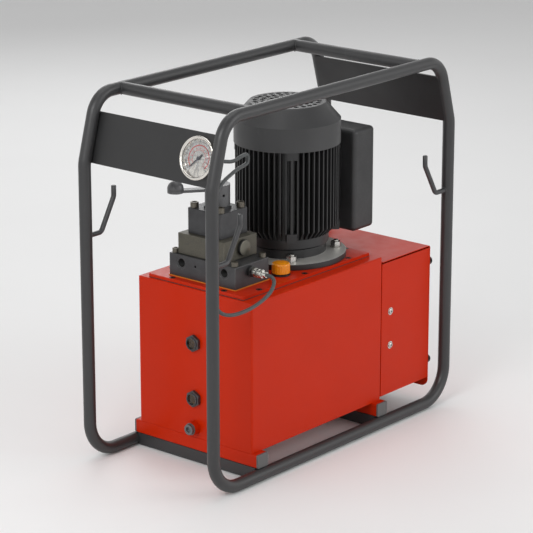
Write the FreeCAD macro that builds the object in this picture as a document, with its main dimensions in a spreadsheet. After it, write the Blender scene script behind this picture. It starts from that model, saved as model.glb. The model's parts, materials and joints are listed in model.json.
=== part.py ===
"""Hydraulic power unit: an electric motor on an oil tank, with a hand valve, inside a tube frame.

X runs along the frame, with the valve and gauge at the -X end, Z is up, and the origin is on the
floor under the middle of the frame. All lengths are in millimetres.
"""
import FreeCAD, Part

import math
import os
import re

import Sketcher

Vector = FreeCAD.Vector
Rotation = FreeCAD.Rotation
Placement = FreeCAD.Placement

DIMENSIONS = {
    # tube frame
    "frame_half_length": 400.0,
    "frame_half_width": 176.25,
    "tube_radius": 13.45,
    "tube_wall": 2.6,
    "kink_height": 662.8,
    "top_rail_height": 804.3,
    "post_lean": 40.0,
    "lower_bend": 75.0,
    "upper_bend": 58.0,
    "kink_bend": 70.0,
    "cross_tube_place": 286.0,
    "strap_width": 30.0,
    "strap_height": 26.4,
    "strap_wall": 3.0,
    "strap_end_inset": 8.0,
    "panel_bottom": 663.0,
    "panel_top": 768.0,
    "panel_thick": 3.0,
    "panel_setback": 10.6,
    "hook_rod_radius": 5.5,
    "hook_level": 504.0,
    # oil tank and its lid
    "tank_front": -259.4,
    "tank_rear": 184.0,
    "tank_half_width": 160.6,
    "tank_bottom": 58.0,
    "tank_top": 390.0,
    "tank_sheet": 3.0,
    "tank_edge_radius": 5.0,
    "lid_front": -254.0,
    "lid_rear": 172.0,
    "lid_half_width": 133.0,
    "lid_gasket_thick": 1.5,
    "lid_thick": 7.0,
    "tank_mouth_inset": 24.0,
    "lid_screw_radius": 4.0,
    "lid_screw_head_radius": 6.6,
    "foot_front": -259.4,
    "foot_rear": 153.4,
    "foot_length": 352.8,
    "foot_width": 34.0,
    "foot_height": 30.0,
    "foot_wall": 3.0,
    "foot_cap_thick": 4.0,
    "upper_glass_height": 271.0,
    "lower_glass_height": 146.0,
    "glass_flats": 33.0,
    "glass_bore": 11.5,
    "drain_height": 80.0,
    "drain_boss_radius": 15.0,
    "drain_boss_length": 14.0,
    "drain_thread_radius": 8.5,
    # rear equipment cover
    "cover_rear": 360.0,
    "cover_top": 379.0,
    "cover_sheet": 2.0,
    "cover_bend": 6.0,
    "cover_lip_bottom": 42.0,
    "side_plate_bottom": 65.0,
    "side_screw_place": 216.0,
    "thumb_screw_inset": 151.5,
    "thumb_screw_low": 106.5,
    "thumb_screw_high": 340.0,
    # electric motor
    "motor_place": 48.3,
    "flange_radius": 130.0,
    "flange_thick": 13.0,
    "flange_bolt_circle": 107.5,
    "flange_bolt_radius": 6.0,
    "housing_bore": 80.0,
    "housing_skin": 90.0,
    "neck_radius": 86.0,
    "neck_groove_radius": 82.5,
    "neck_groove_base": 431.0,
    "neck_groove_top": 434.0,
    "neck_band_radius": 91.5,
    "fin_radius": 113.0,
    "fin_thick": 3.0,
    "fin_bottom": 455.0,
    "fin_top": 668.0,
    "cowl_radius": 116.6,
    "cowl_bottom": 655.0,
    "cowl_shoulder": 707.0,
    "cowl_top_radius": 85.5,
    "cowl_top": 744.0,
    "cowl_sheet": 1.6,
    "box_near": 184.0,
    "box_depth": 73.0,
    "box_half_width": 80.0,
    "box_edge_radius": 10.0,
    "box_wall": 3.0,
    "box_bottom": 432.0,
    "box_top": 663.0,
    "shaft_radius": 14.0,
    "air_gap": 0.6,
    # pump inside the tank
    "coupling_radius": 30.0,
    "bell_radius": 56.0,
    "bell_height": 86.0,
    "stage_radius": 74.0,
    "stage_height": 70.0,
    "eccentric_radius": 24.0,
    "eccentric_throw": 1.5,
    "gear_stage_height": 34.0,
    "gear_width": 16.0,
    "gear_centres": 30.0,
    "pump_shaft_radius": 9.0,
    "strainer_radius": 30.0,
    # valve stack
    "manifold_front": -234.0,
    "manifold_rear": -124.5,
    "manifold_near": -93.5,
    "manifold_far": 92.0,
    "manifold_height": 48.5,
    "port_radius": 9.3,
    "port_height": 31.0,
    "near_port_place": -61.7,
    "far_port_place": 58.3,
    "relief_front": -226.6,
    "relief_rear": -121.0,
    "relief_near": -57.0,
    "relief_far": 73.4,
    "relief_height": 46.0,
    "valve_front": -215.0,
    "valve_rear": -130.0,
    "valve_near": -38.5,
    "valve_far": 55.0,
    "valve_height": 56.0,
    "spool_radius": 12.0,
    "hub_radius": 27.0,
    "hub_height": 46.0,
    "lever_reach": 90.0,
    "lever_width": 18.0,
    "lever_thick": 6.0,
    "lever_heading": 142.0,
    "lever_knob_radius": 17.5,
    # gauge, filler and test hose
    "gauge_place": -117.0,
    "gauge_height": 719.5,
    "gauge_radius": 45.5,
    "filler_place": -80.5,
    "filler_across": -89.9,
    "filler_radius": 19.8,
    "test_place": -186.0,
    "test_height": 431.5,
    "test_end": -139.0,
    "hose_radius": 4.0,
}

doc = FreeCAD.newDocument("hydraulic_power_unit")
sheet = doc.addObject("Spreadsheet::Sheet", "dims")
for row, (alias, number) in enumerate(DIMENSIONS.items(), start=1):
    sheet.set(f"A{row}", alias.replace("_", " "))
    sheet.set(f"B{row}", str(number))
    sheet.setAlias(f"B{row}", alias)
probe = doc.addObject("App::FeaturePython", "probe")
probe.addProperty("App::PropertyFloat", "reading")
doc.recompute()

# Levels and places worked out from the driving dimensions.
FOOT_BASE = "(tank_bottom - foot_height)"
LID_BASE = "(tank_top + lid_gasket_thick)"
LID_TOP = "(tank_top + lid_gasket_thick + lid_thick)"
FLANGE_TOP = f"({LID_TOP} + flange_thick)"
MANIFOLD_BASE = f"({LID_TOP} + lid_gasket_thick)"
MANIFOLD_TOP = f"({MANIFOLD_BASE} + manifold_height)"
RELIEF_TOP = f"({MANIFOLD_TOP} + relief_height)"
VALVE_TOP = f"({RELIEF_TOP} + valve_height)"
VALVE_X = "((valve_front + valve_rear) / 2)"
VALVE_Y = "((valve_near + valve_far) / 2)"
BELL_BASE = f"({LID_BASE} - bell_height)"
STAGE_BASE = f"({BELL_BASE} - stage_height)"
GEAR_BASE = f"({STAGE_BASE} - gear_stage_height)"
LEAN_ANGLE = "atan(post_lean / (top_rail_height - kink_height))"
GAUGE_X = "(-frame_half_length + post_lean * (gauge_height - kink_height) / (top_rail_height - kink_height))"

AXIS_TURN = {
    "z": Rotation(),
    "x": Rotation(Vector(0, 1, 0), 90),
    "-x": Rotation(Vector(0, 1, 0), -90),
    "y": Rotation(Vector(1, 0, 0), -90),
    "-y": Rotation(Vector(1, 0, 0), 90),
}


def bound(text):
    """The expression with each dimension's name pointing at the spreadsheet."""
    return re.sub(r"[a-z_]+", lambda m: f"dims.{m[0]}" if m[0] in DIMENSIONS else m[0], str(text))


def value(text):
    """The number that an expression has now."""
    probe.setExpression("reading", bound(text))
    probe.recompute()
    return probe.reading


def bind(thing, **sizes):
    for name, text in sizes.items():
        thing.setExpression(name, bound(text))
    return thing


def place(thing, at=("0", "0", "0"), turn=None):
    if turn is not None:
        thing.Placement = Placement(Vector(), turn)
    for axis, text in zip("xyz", at):
        thing.setExpression(f"Placement.Base.{axis}", bound(text))
    return thing


def block(name, length, width, height, at):
    piece = bind(doc.addObject("Part::Box", name), Length=length, Width=width, Height=height)
    return place(piece, at)


def span(name, x, y, z):
    """A block between two values on each axis."""
    sizes = [f"{high} - ({low})" for low, high in (x, y, z)]
    return block(name, *sizes, (x[0], y[0], z[0]))


def rod(name, radius, length, at, along="z"):
    piece = bind(doc.addObject("Part::Cylinder", name), Radius=radius, Height=length)
    return place(piece, at, AXIS_TURN[along])


def cone(name, low, high, length, at, along="z"):
    piece = bind(doc.addObject("Part::Cone", name), Radius1=low, Radius2=high, Height=length)
    return place(piece, at, AXIS_TURN[along])


def hexagon(name, flats, length, at, along="z"):
    piece = doc.addObject("Part::Prism", name)
    piece.Polygon = 6
    bind(piece, Circumradius=f"{flats} / (2 * cos(30))", Height=length)
    return place(piece, at, AXIS_TURN[along])


def join(name, *parts):
    piece = doc.addObject("Part::MultiFuse", name)
    piece.Shapes = list(parts)
    return piece


def cut(name, base, *tools):
    piece = doc.addObject("Part::Cut", name)
    piece.Base = base
    piece.Tool = tools[0] if len(tools) == 1 else join(f"{name}_tools", *tools)
    return piece


def group(name, parts):
    """Several separate solids that share one node."""
    piece = doc.addObject("Part::Compound", name)
    piece.Links = list(parts)
    return piece


def origin_plane(body, role):
    return next(item for item in body.Origin.OriginFeatures if item.Role == role)


def outline(body, role, points):
    """A closed outline whose every corner is tied to the spreadsheet."""
    sketch = body.newObject("Sketcher::SketchObject", f"{body.Name}_outline")
    sketch.AttachmentSupport = [(origin_plane(body, role), "")]
    sketch.MapMode = "FlatFace"
    spots = [(value(across), value(up)) for across, up in points]
    for start, end in zip(spots, spots[1:] + spots[:1]):
        sketch.addGeometry(Part.LineSegment(Vector(*start, 0), Vector(*end, 0)), False)
    for line in range(len(spots)):
        sketch.addConstraint(Sketcher.Constraint("Coincident", line, 2, (line + 1) % len(spots), 1))
    for line, (texts, spot) in enumerate(zip(points, spots)):
        for kind, text, number in zip(("DistanceX", "DistanceY"), texts, spot):
            mark = sketch.addConstraint(Sketcher.Constraint(kind, line, 1, number))
            sketch.setExpression(f"Constraints[{mark}]", bound(text))
    return sketch


def turned(name, points, at=("0", "0", "0"), along=None):
    """A body of revolution about its own Z axis; points are radius and height."""
    body = doc.addObject("PartDesign::Body", name)
    sketch = outline(body, "XZ_Plane", points)
    feature = body.newObject("PartDesign::Revolution", f"{name}_turned")
    feature.Profile = sketch
    feature.ReferenceAxis = (sketch, ["V_Axis"])
    feature.Angle = 360
    return place(body, at, along)


def padded(name, role, points, length, at=("0", "0", "0"), turn=None, middle=False):
    body = doc.addObject("PartDesign::Body", name)
    sketch = outline(body, role, points)
    feature = body.newObject("PartDesign::Pad", f"{name}_pad")
    feature.Profile = sketch
    feature.Midplane = middle
    bind(feature, Length=length)
    return place(body, at, turn)


def rounded_block(name, x, y, z, radius, chosen, kind="Fillet"):
    """A block with the chosen edges rounded or chamfered."""
    body = doc.addObject("PartDesign::Body", name)
    base = body.newObject("PartDesign::AdditiveBox", f"{name}_block")
    sizes = [f"{high} - ({low})" for low, high in (x, y, z)]
    bind(base, Length=sizes[0], Width=sizes[1], Height=sizes[2])
    place(body, (x[0], y[0], z[0]))
    doc.recompute()
    edges = [f"Edge{n}" for n, edge in enumerate(base.Shape.Edges, start=1) if chosen(edge,
            base.Shape.BoundBox)]
    soften = body.newObject(f"PartDesign::{kind}", f"{name}_edges")
    soften.Base = (base, edges)
    bind(soften, **{"Radius" if kind == "Fillet" else "Size": radius})
    return body


def along_axis(axis):
    """Chooses the edges that run along one axis."""
    return lambda edge, box: abs(getattr(edge.tangentAt(edge.FirstParameter), axis)) > 0.99


def every_edge(edge, box):
    return True


def bent_path(points, radii, closed=False):
    """Straight runs joined by tangent arcs, as (kind, data) steps."""
    count = len(points)
    corners = range(count) if closed else range(1, count - 1)
    bends = {}
    for corner, radius in zip(corners, radii):
        here = points[corner]
        back = (points[corner - 1] - here).normalize()
        on = (points[(corner + 1) % count] - here).normalize()
        turn = math.pi - back.getAngle(on)
        reach = radius * math.tan(turn / 2)
        centre = here + (back + on).normalize() * (radius / math.cos(turn / 2))
        bends[corner] = (here + back * reach, here + on * reach, centre, turn, back.cross(on) * -1)
    steps = []
    for run in range(count if closed else count - 1):
        far = (run + 1) % count
        start = bends[run][1] if run in bends else points[run]
        end = bends[far][0] if far in bends else points[far]
        steps.append(("run", start, end))
        if far in bends:
            steps.append(("bend", *bends[far]))
    return steps


def tube_solid(steps, radius):
    """A round bar along the steps of a bent path."""
    solids = []
    for kind, start, end, *bend in steps:
        if kind == "run":
            solids.append(Part.makeCylinder(radius, (end - start).Length, start, end - start))
            continue
        centre, turn, axis = bend
        heading = axis.cross(start - centre)
        disc = Part.Face(Part.Wire(Part.makeCircle(radius, start, heading)))
        solids.append(disc.revolve(centre, axis, math.degrees(turn)))
    return solids[0].multiFuse(solids[1:]).removeSplitter()


def path_length(steps):
    total = 0.0
    for kind, start, end, *bend in steps:
        total += (end - start).Length if kind == "run" else (start - bend[0]).Length * bend[1]
    return total


def shaped(name, shape):
    piece = doc.addObject("Part::Feature", name)
    piece.Shape = shape
    return piece


# ---------------------------------------------------------------- tube frame

def frame_hoop(name, side):
    """One closed loop of bent tube: bottom rail, two kinked posts and top rail."""
    out = value("frame_half_length")
    lean = value("post_lean")
    corners = [
        (-out, value("tube_radius")),
        (-out, value("kink_height")),
        (lean - out, value("top_rail_height")),
        (out - lean, value("top_rail_height")),
        (out, value("kink_height")),
        (out, value("tube_radius")),
    ]
    lower, upper, kink = value("lower_bend"), value("upper_bend"), value("kink_bend")
    across = side * value("frame_half_width")
    points = [Vector(x, across, z) for x, z in corners]
    steps = bent_path(points, [lower, kink, upper, upper, kink, lower], closed=True)
    radius = value("tube_radius")
    outer = tube_solid(steps, radius)
    hoop = shaped(name, outer.cut(tube_solid(steps, radius - value("tube_wall"))))
    return hoop, shaped(f"{name}_envelope", outer)


def cross_tube(name, side, envelopes):
    at = (f"{side} * cross_tube_place", "-frame_half_width", "top_rail_height")
    bar = rod(f"{name}_bar", "tube_radius", "2 * frame_half_width", at, "y")
    bore = rod(f"{name}_bore", "tube_radius - tube_wall", "2 * frame_half_width", at, "y")
    return cut(name, bar, bore, *envelopes)


def base_straps(envelopes):
    """Two rectangular tubes under the feet that join the bottom rails, coped round them."""
    reach = "(frame_half_width - strap_end_inset)"
    base = f"({FOOT_BASE} - strap_height)"
    straps = []
    for name, foot in (("front", "foot_front"), ("rear", "foot_rear")):
        bar = span(f"strap_{name}_bar", (foot, f"({foot} + strap_width)"), (f"(-{reach})", reach),
                   (base, FOOT_BASE))
        bore = span(
            f"strap_{name}_bore",
            (f"({foot} + strap_wall)", f"({foot} + strap_width - strap_wall)"),
            ("(-frame_half_width)", "frame_half_width"),
            (f"({base} + strap_wall)", f"({FOOT_BASE} - strap_wall)"),
        )
        straps.append(cut(f"strap_{name}", bar, bore, *envelopes))
    return group("base_straps", straps)


def end_panel(name, side, envelopes, hole=None):
    """A flat sheet between the leaning parts of two posts, on their inner side."""
    height = "panel_top - panel_bottom"
    plate = doc.addObject("Part::Box", f"{name}_plate")
    bind(plate, Length="panel_thick", Width="2 * frame_half_width",
         Height=f"({height}) / cos({LEAN_ANGLE})")
    start = "frame_half_length - post_lean * (panel_bottom - kink_height) / (top_rail_height - kink_height)"
    setback = f"panel_setback / cos({LEAN_ANGLE})"
    if side < 0:
        x = f"-({start}) + {setback}"
    else:
        x = f"{start} - {setback} - panel_thick * cos({LEAN_ANGLE})"
    place(plate, (x, "-frame_half_width", "panel_bottom"))
    lean = math.degrees(math.atan2(value("post_lean"), value("top_rail_height - kink_height")))
    plate.Placement.Rotation = Rotation(Vector(0, 1, 0), -side * lean)
    tools = list(envelopes) + ([hole] if hole else [])
    return cut(name, plate, *tools)


def hose_hook(name, end, side, envelope):
    """A bent rod welded to a post, open upwards, that a coiled hose hangs on."""
    across = side * value("frame_half_width")
    level = value("hook_level")
    post = value("frame_half_length")
    route = [
        Vector(end * post, across, level),
        Vector(end * (post - 46.0), across, level),
        Vector(end * (post - 86.0), across, level + 70.0),
        Vector(end * (post - 86.5), across, level + 94.0),
    ]
    rod_shape = tube_solid(bent_path(route, [13.0, 16.0]), value("hook_rod_radius"))
    return cut(name, shaped(f"{name}_rod", rod_shape), envelope)


def build_frame():
    near, near_envelope = frame_hoop("frame_hoop_near", -1)
    far, far_envelope = frame_hoop("frame_hoop_far", 1)
    envelopes = (near_envelope, far_envelope)
    cross_tubes = [cross_tube("cross_tube_front", -1, envelopes),
                   cross_tube("cross_tube_rear", 1, envelopes)]
    nodes = [near, far, group("top_cross_tubes", cross_tubes), base_straps(envelopes)]
    hole = on_gauge_axis(rod("gauge_hole", "gauge_radius - 3.3", "40", ("0", "0", "0"), "x"), "-5")
    nodes.append(end_panel("front_panel", -1, envelopes, hole))
    nodes.append(end_panel("rear_panel", 1, envelopes))
    hooks = []
    for end, word in ((-1, "front"), (1, "rear")):
        hooks.append(hose_hook(f"hook_{word}_near", end, -1, near_envelope))
        hooks.append(hose_hook(f"hook_{word}_far", end, 1, far_envelope))
    nodes.append(group("hose_hooks", hooks))
    return nodes


# ---------------------------------------------------------------- gauge

def on_gauge_axis(piece, depth):
    """Sets a piece that points along +X on the gauge's tilted axis, at a depth behind the posts' plane."""
    lean = math.degrees(math.atan2(value("post_lean"), value("top_rail_height - kink_height")))
    tilt = Rotation(Vector(0, 1, 0), lean)
    turn = tilt * piece.Placement.Rotation
    at = (
        f"{GAUGE_X} + ({depth}) * cos({LEAN_ANGLE})",
        "gauge_place",
        f"gauge_height - ({depth}) * sin({LEAN_ANGLE})",
    )
    return place(piece, at, turn)


def build_gauge():
    radius = "gauge_radius"
    case = turned("gauge_case", [
        (f"{radius} - 5", "0"), (f"{radius} - 1.5", "0"), (radius, "1.5"), (radius, "7"),
        (f"{radius} - 3.5", "7"), (f"{radius} - 3.5", "32"), (f"{radius} - 8", "36"),
        ("8", "36"), ("8", "52"), ("3", "52"), ("3", "33"), (f"{radius} - 7", "33"),
        (f"{radius} - 7", "3"), (f"{radius} - 5", "3"),
    ], along=AXIS_TURN["x"])
    dial = turned("gauge_dial", [
        ("2.2", "10"), (f"{radius} - 7.2", "10"), (f"{radius} - 7.2", "11.2"), ("2.2", "11.2"),
    ], along=AXIS_TURN["x"])
    glass = rod("gauge_glass", f"{radius} - 7.1", "1.8", ("0", "0", "0"), "x")
    needle = gauge_needle()
    nodes = [on_gauge_axis(case, "3.6"), on_gauge_axis(dial, "3.6")]
    nodes.append(on_gauge_axis(glass, "3.6 + 3.2"))
    nodes.append(on_gauge_axis(needle, "3.6"))
    return nodes


def gauge_needle():
    """Pointer, hub and arbor, made pointing along the dial's zero mark."""
    hub = rod("needle_hub", "4.0", "2.4", ("7", "0", "0"), "x")
    arbor = rod("needle_arbor", "1.6", "16", ("8", "0", "0"), "x")
    blade = padded("needle_blade", "YZ_Plane", [
        ("-2.0", "-12"), ("2.0", "-12"), ("1.2", "20"), ("0.4", "29"), ("-0.4", "29"), ("-1.2", "20"),
    ], "0.8", ("8", "0", "0"))
    pointer = join("needle_pieces", hub, arbor, blade)
    turned_to_zero = doc.addObject("Part::Compound", "gauge_needle")
    turned_to_zero.Links = [pointer]
    turned_to_zero.Placement = Placement(Vector(), Rotation(Vector(1, 0, 0), -135))
    return turned_to_zero


# ---------------------------------------------------------------- tank

def lid_screw_places():
    """Rows of three along both long edges and of two along both ends."""
    row_y = "(lid_half_width - 10)"
    end_y = "73"
    middle = "((lid_front + lid_rear) / 2)"
    spots = [(f"{middle} + {step} * 151", f"{side} * {row_y}") for side in (-1, 1) for step in (-1, 0, 1)]
    spots += [(x, f"{side} * {end_y}") for side in (-1, 1) for x in ("(lid_front + 8)", "(lid_rear - 8)")]
    return spots


def build_tank():
    half = "tank_half_width"
    wall = "tank_sheet"

    def top_edges(edge, box):
        middle = edge.CenterOfMass
        upper_long = abs(middle.z - box.ZMax) < 0.1 and abs(edge.tangentAt(edge.FirstParameter).x) > 0.99
        upright = abs(edge.tangentAt(edge.FirstParameter).z) > 0.99
        return upper_long or upright

    outside = rounded_block(
        "tank_outside", ("tank_front", "tank_rear"), (f"(-{half})", half), ("tank_bottom", "tank_top"),
        "tank_edge_radius", top_edges)
    inside = span(
        "tank_inside", (f"(tank_front + {wall})", f"(tank_rear - {wall})"),
        (f"({wall} - {half})", f"({half} - {wall})"),
        (f"(tank_bottom + {wall})", "(tank_top - 4)"))
    mouth = span(
        "tank_mouth", ("(lid_front + tank_mouth_inset)", "(lid_rear - tank_mouth_inset)"),
        ("(tank_mouth_inset - lid_half_width)", "(lid_half_width - tank_mouth_inset)"),
        ("(tank_top - 10)", "(tank_top + 5)"))
    boss = rod("drain_boss", "drain_boss_radius", f"drain_boss_length + {wall}",
               (f"tank_front + {wall}", "0", "drain_height"), "-x")
    holes = [rod("drain_hole", "drain_thread_radius + 0.1", "60",
                 ("tank_front - 40", "0", "drain_height"), "x")]
    for word in ("upper", "lower"):
        holes.append(rod(f"{word}_glass_hole", "glass_bore + 2.6", "20",
                         ("tank_front - 5", "0", f"{word}_glass_height"), "x"))
    for number, (x, y) in enumerate(lid_screw_places()):
        holes.append(rod(f"rim_hole_{number}", "lid_screw_radius + 0.1", "12", (x, y, "tank_top - 8")))
    shell = cut("tank_hollow", outside, inside, mouth)
    return cut("tank_shell", join("tank_body", shell, boss), *holes)


def build_lid():
    x = ("lid_front", "lid_rear")
    y = ("(-lid_half_width)", "lid_half_width")
    plate = span("lid_plate", x, y, (LID_BASE, LID_TOP))
    sheet_gasket = span("gasket_sheet", x, y, ("tank_top", LID_BASE))
    inner = span("gasket_mouth", ("(lid_front + tank_mouth_inset)", "(lid_rear - tank_mouth_inset)"),
                 ("(tank_mouth_inset - lid_half_width)", "(lid_half_width - tank_mouth_inset)"),
                 ("(tank_top - 1)", "(tank_top + 5)"))
    lid_holes = [
        rod("lid_motor_hole", "45", "30", ("motor_place", "0", "tank_top")),
        rod("lid_filler_hole", "13.5", "30", ("filler_place", "filler_across", "tank_top")),
        rod("lid_pressure_hole", "6.2", "30", ("manifold_rear - 20", "0", "tank_top")),
        rod("lid_return_hole", "8.2", "30", ("manifold_front + 26", "30", "tank_top")),
    ]
    gasket_holes = []
    screws = []
    for number, (px, py) in enumerate(lid_screw_places()):
        gasket_holes.append(rod(f"gasket_hole_{number}", "lid_screw_radius + 0.1", "10",
                                (px, py, "tank_top - 3")))
        lid_holes.append(rod(f"lid_hole_{number}", "lid_screw_radius + 0.1", "20", (px, py, "tank_top")))
        lid_holes.append(rod(f"lid_sink_{number}", "lid_screw_head_radius + 0.2", "8",
                             (px, py, f"{LID_TOP} - 3.6")))
        shank = rod(f"lid_shank_{number}", "lid_screw_radius", "12.2", (px, py, f"{LID_TOP} - 15.6"))
        head = rod(f"lid_head_{number}", "lid_screw_head_radius", "3.8", (px, py, f"{LID_TOP} - 3.6"))
        socket = hexagon(f"lid_socket_{number}", "5", "3", (px, py, f"{LID_TOP} - 1.8"))
        screws.append(cut(f"lid_screw_{number}", join(f"lid_blank_{number}", shank, head), socket))
    for number, angle in enumerate((45, 135, 225, 315)):
        lid_holes.append(rod(f"lid_bolt_hole_{number}", "flange_bolt_radius + 0.1", "30",
                             motor_spot("flange_bolt_circle", angle, "tank_top")))
    lid = cut("tank_lid", plate, *lid_holes)
    gasket = cut("lid_gasket", sheet_gasket, inner, *gasket_holes)
    return [lid, gasket, group("lid_screws", screws)]


def motor_spot(radius, angle, height):
    """A place round the motor's axis."""
    return (f"motor_place + ({radius}) * cos({angle})", f"({radius}) * sin({angle})", height)


def build_feet():
    feet = []
    caps = []
    for word in ("front", "rear"):
        start = f"foot_{word}"
        x = (start, f"({start} + foot_width)")
        y = ("(-foot_length / 2 + foot_cap_thick)", "(foot_length / 2 - foot_cap_thick)")
        z = (FOOT_BASE, "tank_bottom")
        bar = rounded_block(f"foot_{word}_bar", x, y, z, "3", along_axis("y"))
        bore = span(f"foot_{word}_bore", (f"({start} + foot_wall)", f"({start} + foot_width - foot_wall)"),
                    ("(-foot_length)", "foot_length"),
                    (f"({FOOT_BASE} + foot_wall)", "(tank_bottom - foot_wall)"))
        feet.append(cut(f"foot_{word}", bar, bore))
        for side, sign in (("near", -1), ("far", 1)):
            outer, inner = f"{sign} * foot_length / 2", f"{sign} * (foot_length / 2 - foot_cap_thick)"
            low, high = (outer, inner) if sign < 0 else (inner, outer)
            plate = rounded_block(f"cap_{word}_{side}_plate", x, (f"({low})", f"({high})"), z, "3",
                                  along_axis("y"))
            plug_low = "(foot_length / 2 - foot_cap_thick - 12)"
            if sign < 0:
                plug_low = "(-foot_length / 2 + foot_cap_thick)"
            plug = span(
                f"cap_{word}_{side}_plug",
                (f"({start} + foot_wall + 0.1)", f"({start} + foot_width - foot_wall - 0.1)"),
                (plug_low, f"({plug_low} + 12)"),
                (f"({FOOT_BASE} + foot_wall + 0.1)", "(tank_bottom - foot_wall - 0.1)"))
            caps.append(join(f"cap_{word}_{side}", plate, plug))
    return [group("tank_feet", feet), group("foot_end_caps", caps)]


def build_sight_glasses():
    bodies = []
    lenses = []
    for word in ("upper", "lower"):
        height = f"{word}_glass_height"
        head = hexagon(f"{word}_glass_hex", "glass_flats", "9", ("tank_front", "0", height), "-x")
        collar = rod(f"{word}_glass_collar", "14.5", "12", ("tank_front", "0", height), "-x")
        neck = rod(f"{word}_glass_neck", "glass_bore + 2.4", "12", ("tank_front", "0", height), "x")
        bore = rod(f"{word}_glass_bore", "glass_bore", "60", ("tank_front - 20", "0", height), "x")
        bodies.append(cut(f"{word}_glass_body", join(f"{word}_glass_blank", head, collar, neck), bore))
        lenses.append(rod(f"{word}_lens", "glass_bore - 0.05", "16", ("tank_front - 9", "0", height), "x"))
    return [group("sight_glass_bodies", bodies), group("sight_lenses", lenses)]


def build_drain_plug():
    face = "tank_front - drain_boss_length"
    washer = rod("drain_washer", "13.4", "1.8", (face, "0", "drain_height"), "-x")
    head = rod("drain_head", "11.6", "6", (f"{face} - 1.8", "0", "drain_height"), "-x")
    thread = rod("drain_thread", "drain_thread_radius", "14", (face, "0", "drain_height"), "x")
    socket = hexagon("drain_socket", "12", "10", (f"{face} - 3", "0", "drain_height"), "-x")
    return cut("drain_plug", join("drain_blank", washer, head, thread), socket)


THUMB_LEVELS = ("thumb_screw_low", "thumb_screw_high")


def thumb_screw(name, at, along):
    """A knurled hand screw with a broad tall head; it points along its axis."""
    head = rod(f"{name}_head", "9.8", "10", at, along)
    step = {"x": (1, 0), "-y": (0, -1), "y": (0, 1)}[along]
    shank_at = (f"{at[0]} - {10 * step[0]}", f"{at[1]} - ({10 * step[1]})", at[2])
    shank = rod(f"{name}_shank", "3.0", "10", shank_at, along)
    return join(name, head, shank)


def build_cover():
    """Bent sheet over the equipment bay, its two side plates and its screws."""
    def outer_edges(edge, box):
        middle = edge.CenterOfMass
        runs = edge.tangentAt(edge.FirstParameter)
        return abs(runs.y) > 0.99 and middle.z > box.ZMax - 0.1 and middle.x > box.XMax - 0.1

    def corner_edges(edge, box):
        return abs(edge.tangentAt(edge.FirstParameter).x) > 0.99 and edge.CenterOfMass.z < box.ZMin + 0.1

    half = "tank_half_width"
    skin = rounded_block("cover_skin", ("(tank_rear + 1)", "cover_rear"),
                         (f"(-{half} - 0.6)", f"({half} + 0.6)"),
                         ("cover_lip_bottom", "cover_top"), "cover_bend", outer_edges)
    hollow = rounded_block("cover_hollow", ("(tank_rear - 40)", "(cover_rear - cover_sheet)"),
                           (f"(-{half} - 20)", f"({half} + 20)"),
                           ("(cover_lip_bottom - 40)", "(cover_top - cover_sheet)"),
                           "cover_bend - cover_sheet", outer_edges)
    corner_stock = span("cover_corner_stock", ("(cover_rear - 20)", "(cover_rear + 20)"),
                        (f"(-{half} - 30)", f"({half} + 30)"), ("(cover_lip_bottom - 30)",
                                "(cover_lip_bottom + 30)"))
    corner_keep = rounded_block("cover_corner_keep", ("(cover_rear - 30)", "(cover_rear + 30)"),
                                (f"(-{half} - 0.6)", f"({half} + 0.6)"),
                                ("cover_lip_bottom", "(cover_lip_bottom + 60)"), "18", corner_edges)
    corners = cut("cover_corners", corner_stock, corner_keep)
    thumb_holes = []
    thumbs = []
    for number, (side, level) in enumerate(((s, z) for s in (-1, 1) for z in THUMB_LEVELS)):
        at = ("cover_rear", f"{side} * thumb_screw_inset", level)
        thumb_holes.append(rod(f"thumb_hole_{number}", "3.2", "30", ("cover_rear - 15", at[1], level), "x"))
        thumbs.append(thumb_screw(f"thumb_screw_{number}", at, "x"))
    cover = cut("rear_cover", skin, hollow, corners, *thumb_holes)

    plates = []
    side_screws = []
    for word, side in (("near", -1), ("far", 1)):
        low, high = (f"(-{half})",
                     f"(-{half} + cover_sheet)") if side < 0 else (f"({half} - cover_sheet)", half)
        panel = span(f"side_panel_{word}", ("(tank_rear + 0.2)", "(cover_rear - cover_sheet - 0.4)"),
                     (low, high),
                     ("side_plate_bottom", "(cover_top - cover_sheet - 3.5)"))
        front_flange_low, front_flange_high = (low, f"(-{half} + 26)") if side < 0 else (f"({half} - 26)",
                high)
        tank_flange = span(f"side_tank_flange_{word}", ("(tank_rear)", "(tank_rear + 2)"),
                           (front_flange_low, front_flange_high), ("side_plate_bottom", "(cover_top - 12)"))
        rear_flange = span(f"side_rear_flange_{word}",
                           ("(cover_rear - cover_sheet - 2.4)", "(cover_rear - cover_sheet - 0.4)"),
                           (front_flange_low, front_flange_high), ("side_plate_bottom", "(cover_top - 12)"))
        tools = []
        for number, level in enumerate(("179", "258")):
            screw_y = f"{side} * {half}"
            along = "y" if side > 0 else "-y"
            tools.append(rod(f"side_hole_{word}_{number}", "3.2", "30",
                             ("side_screw_place", f"{screw_y} - 15", level), "y"))
            side_screws.append(side_screw(f"side_screw_{word}_{number}",
                                          ("side_screw_place", screw_y, level), along))
        for number, level in enumerate(THUMB_LEVELS):
            tools.append(rod(f"flange_thumb_hole_{word}_{number}", "3.2", "30",
                             ("cover_rear - 15", f"{side} * thumb_screw_inset", level), "x"))
        plates.append(cut(f"side_plate_{word}", join(f"side_blank_{word}", panel, tank_flange,
                                                     rear_flange), *tools))
    return [cover, group("cover_side_plates", plates), group("cover_screws", thumbs + side_screws)]


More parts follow.
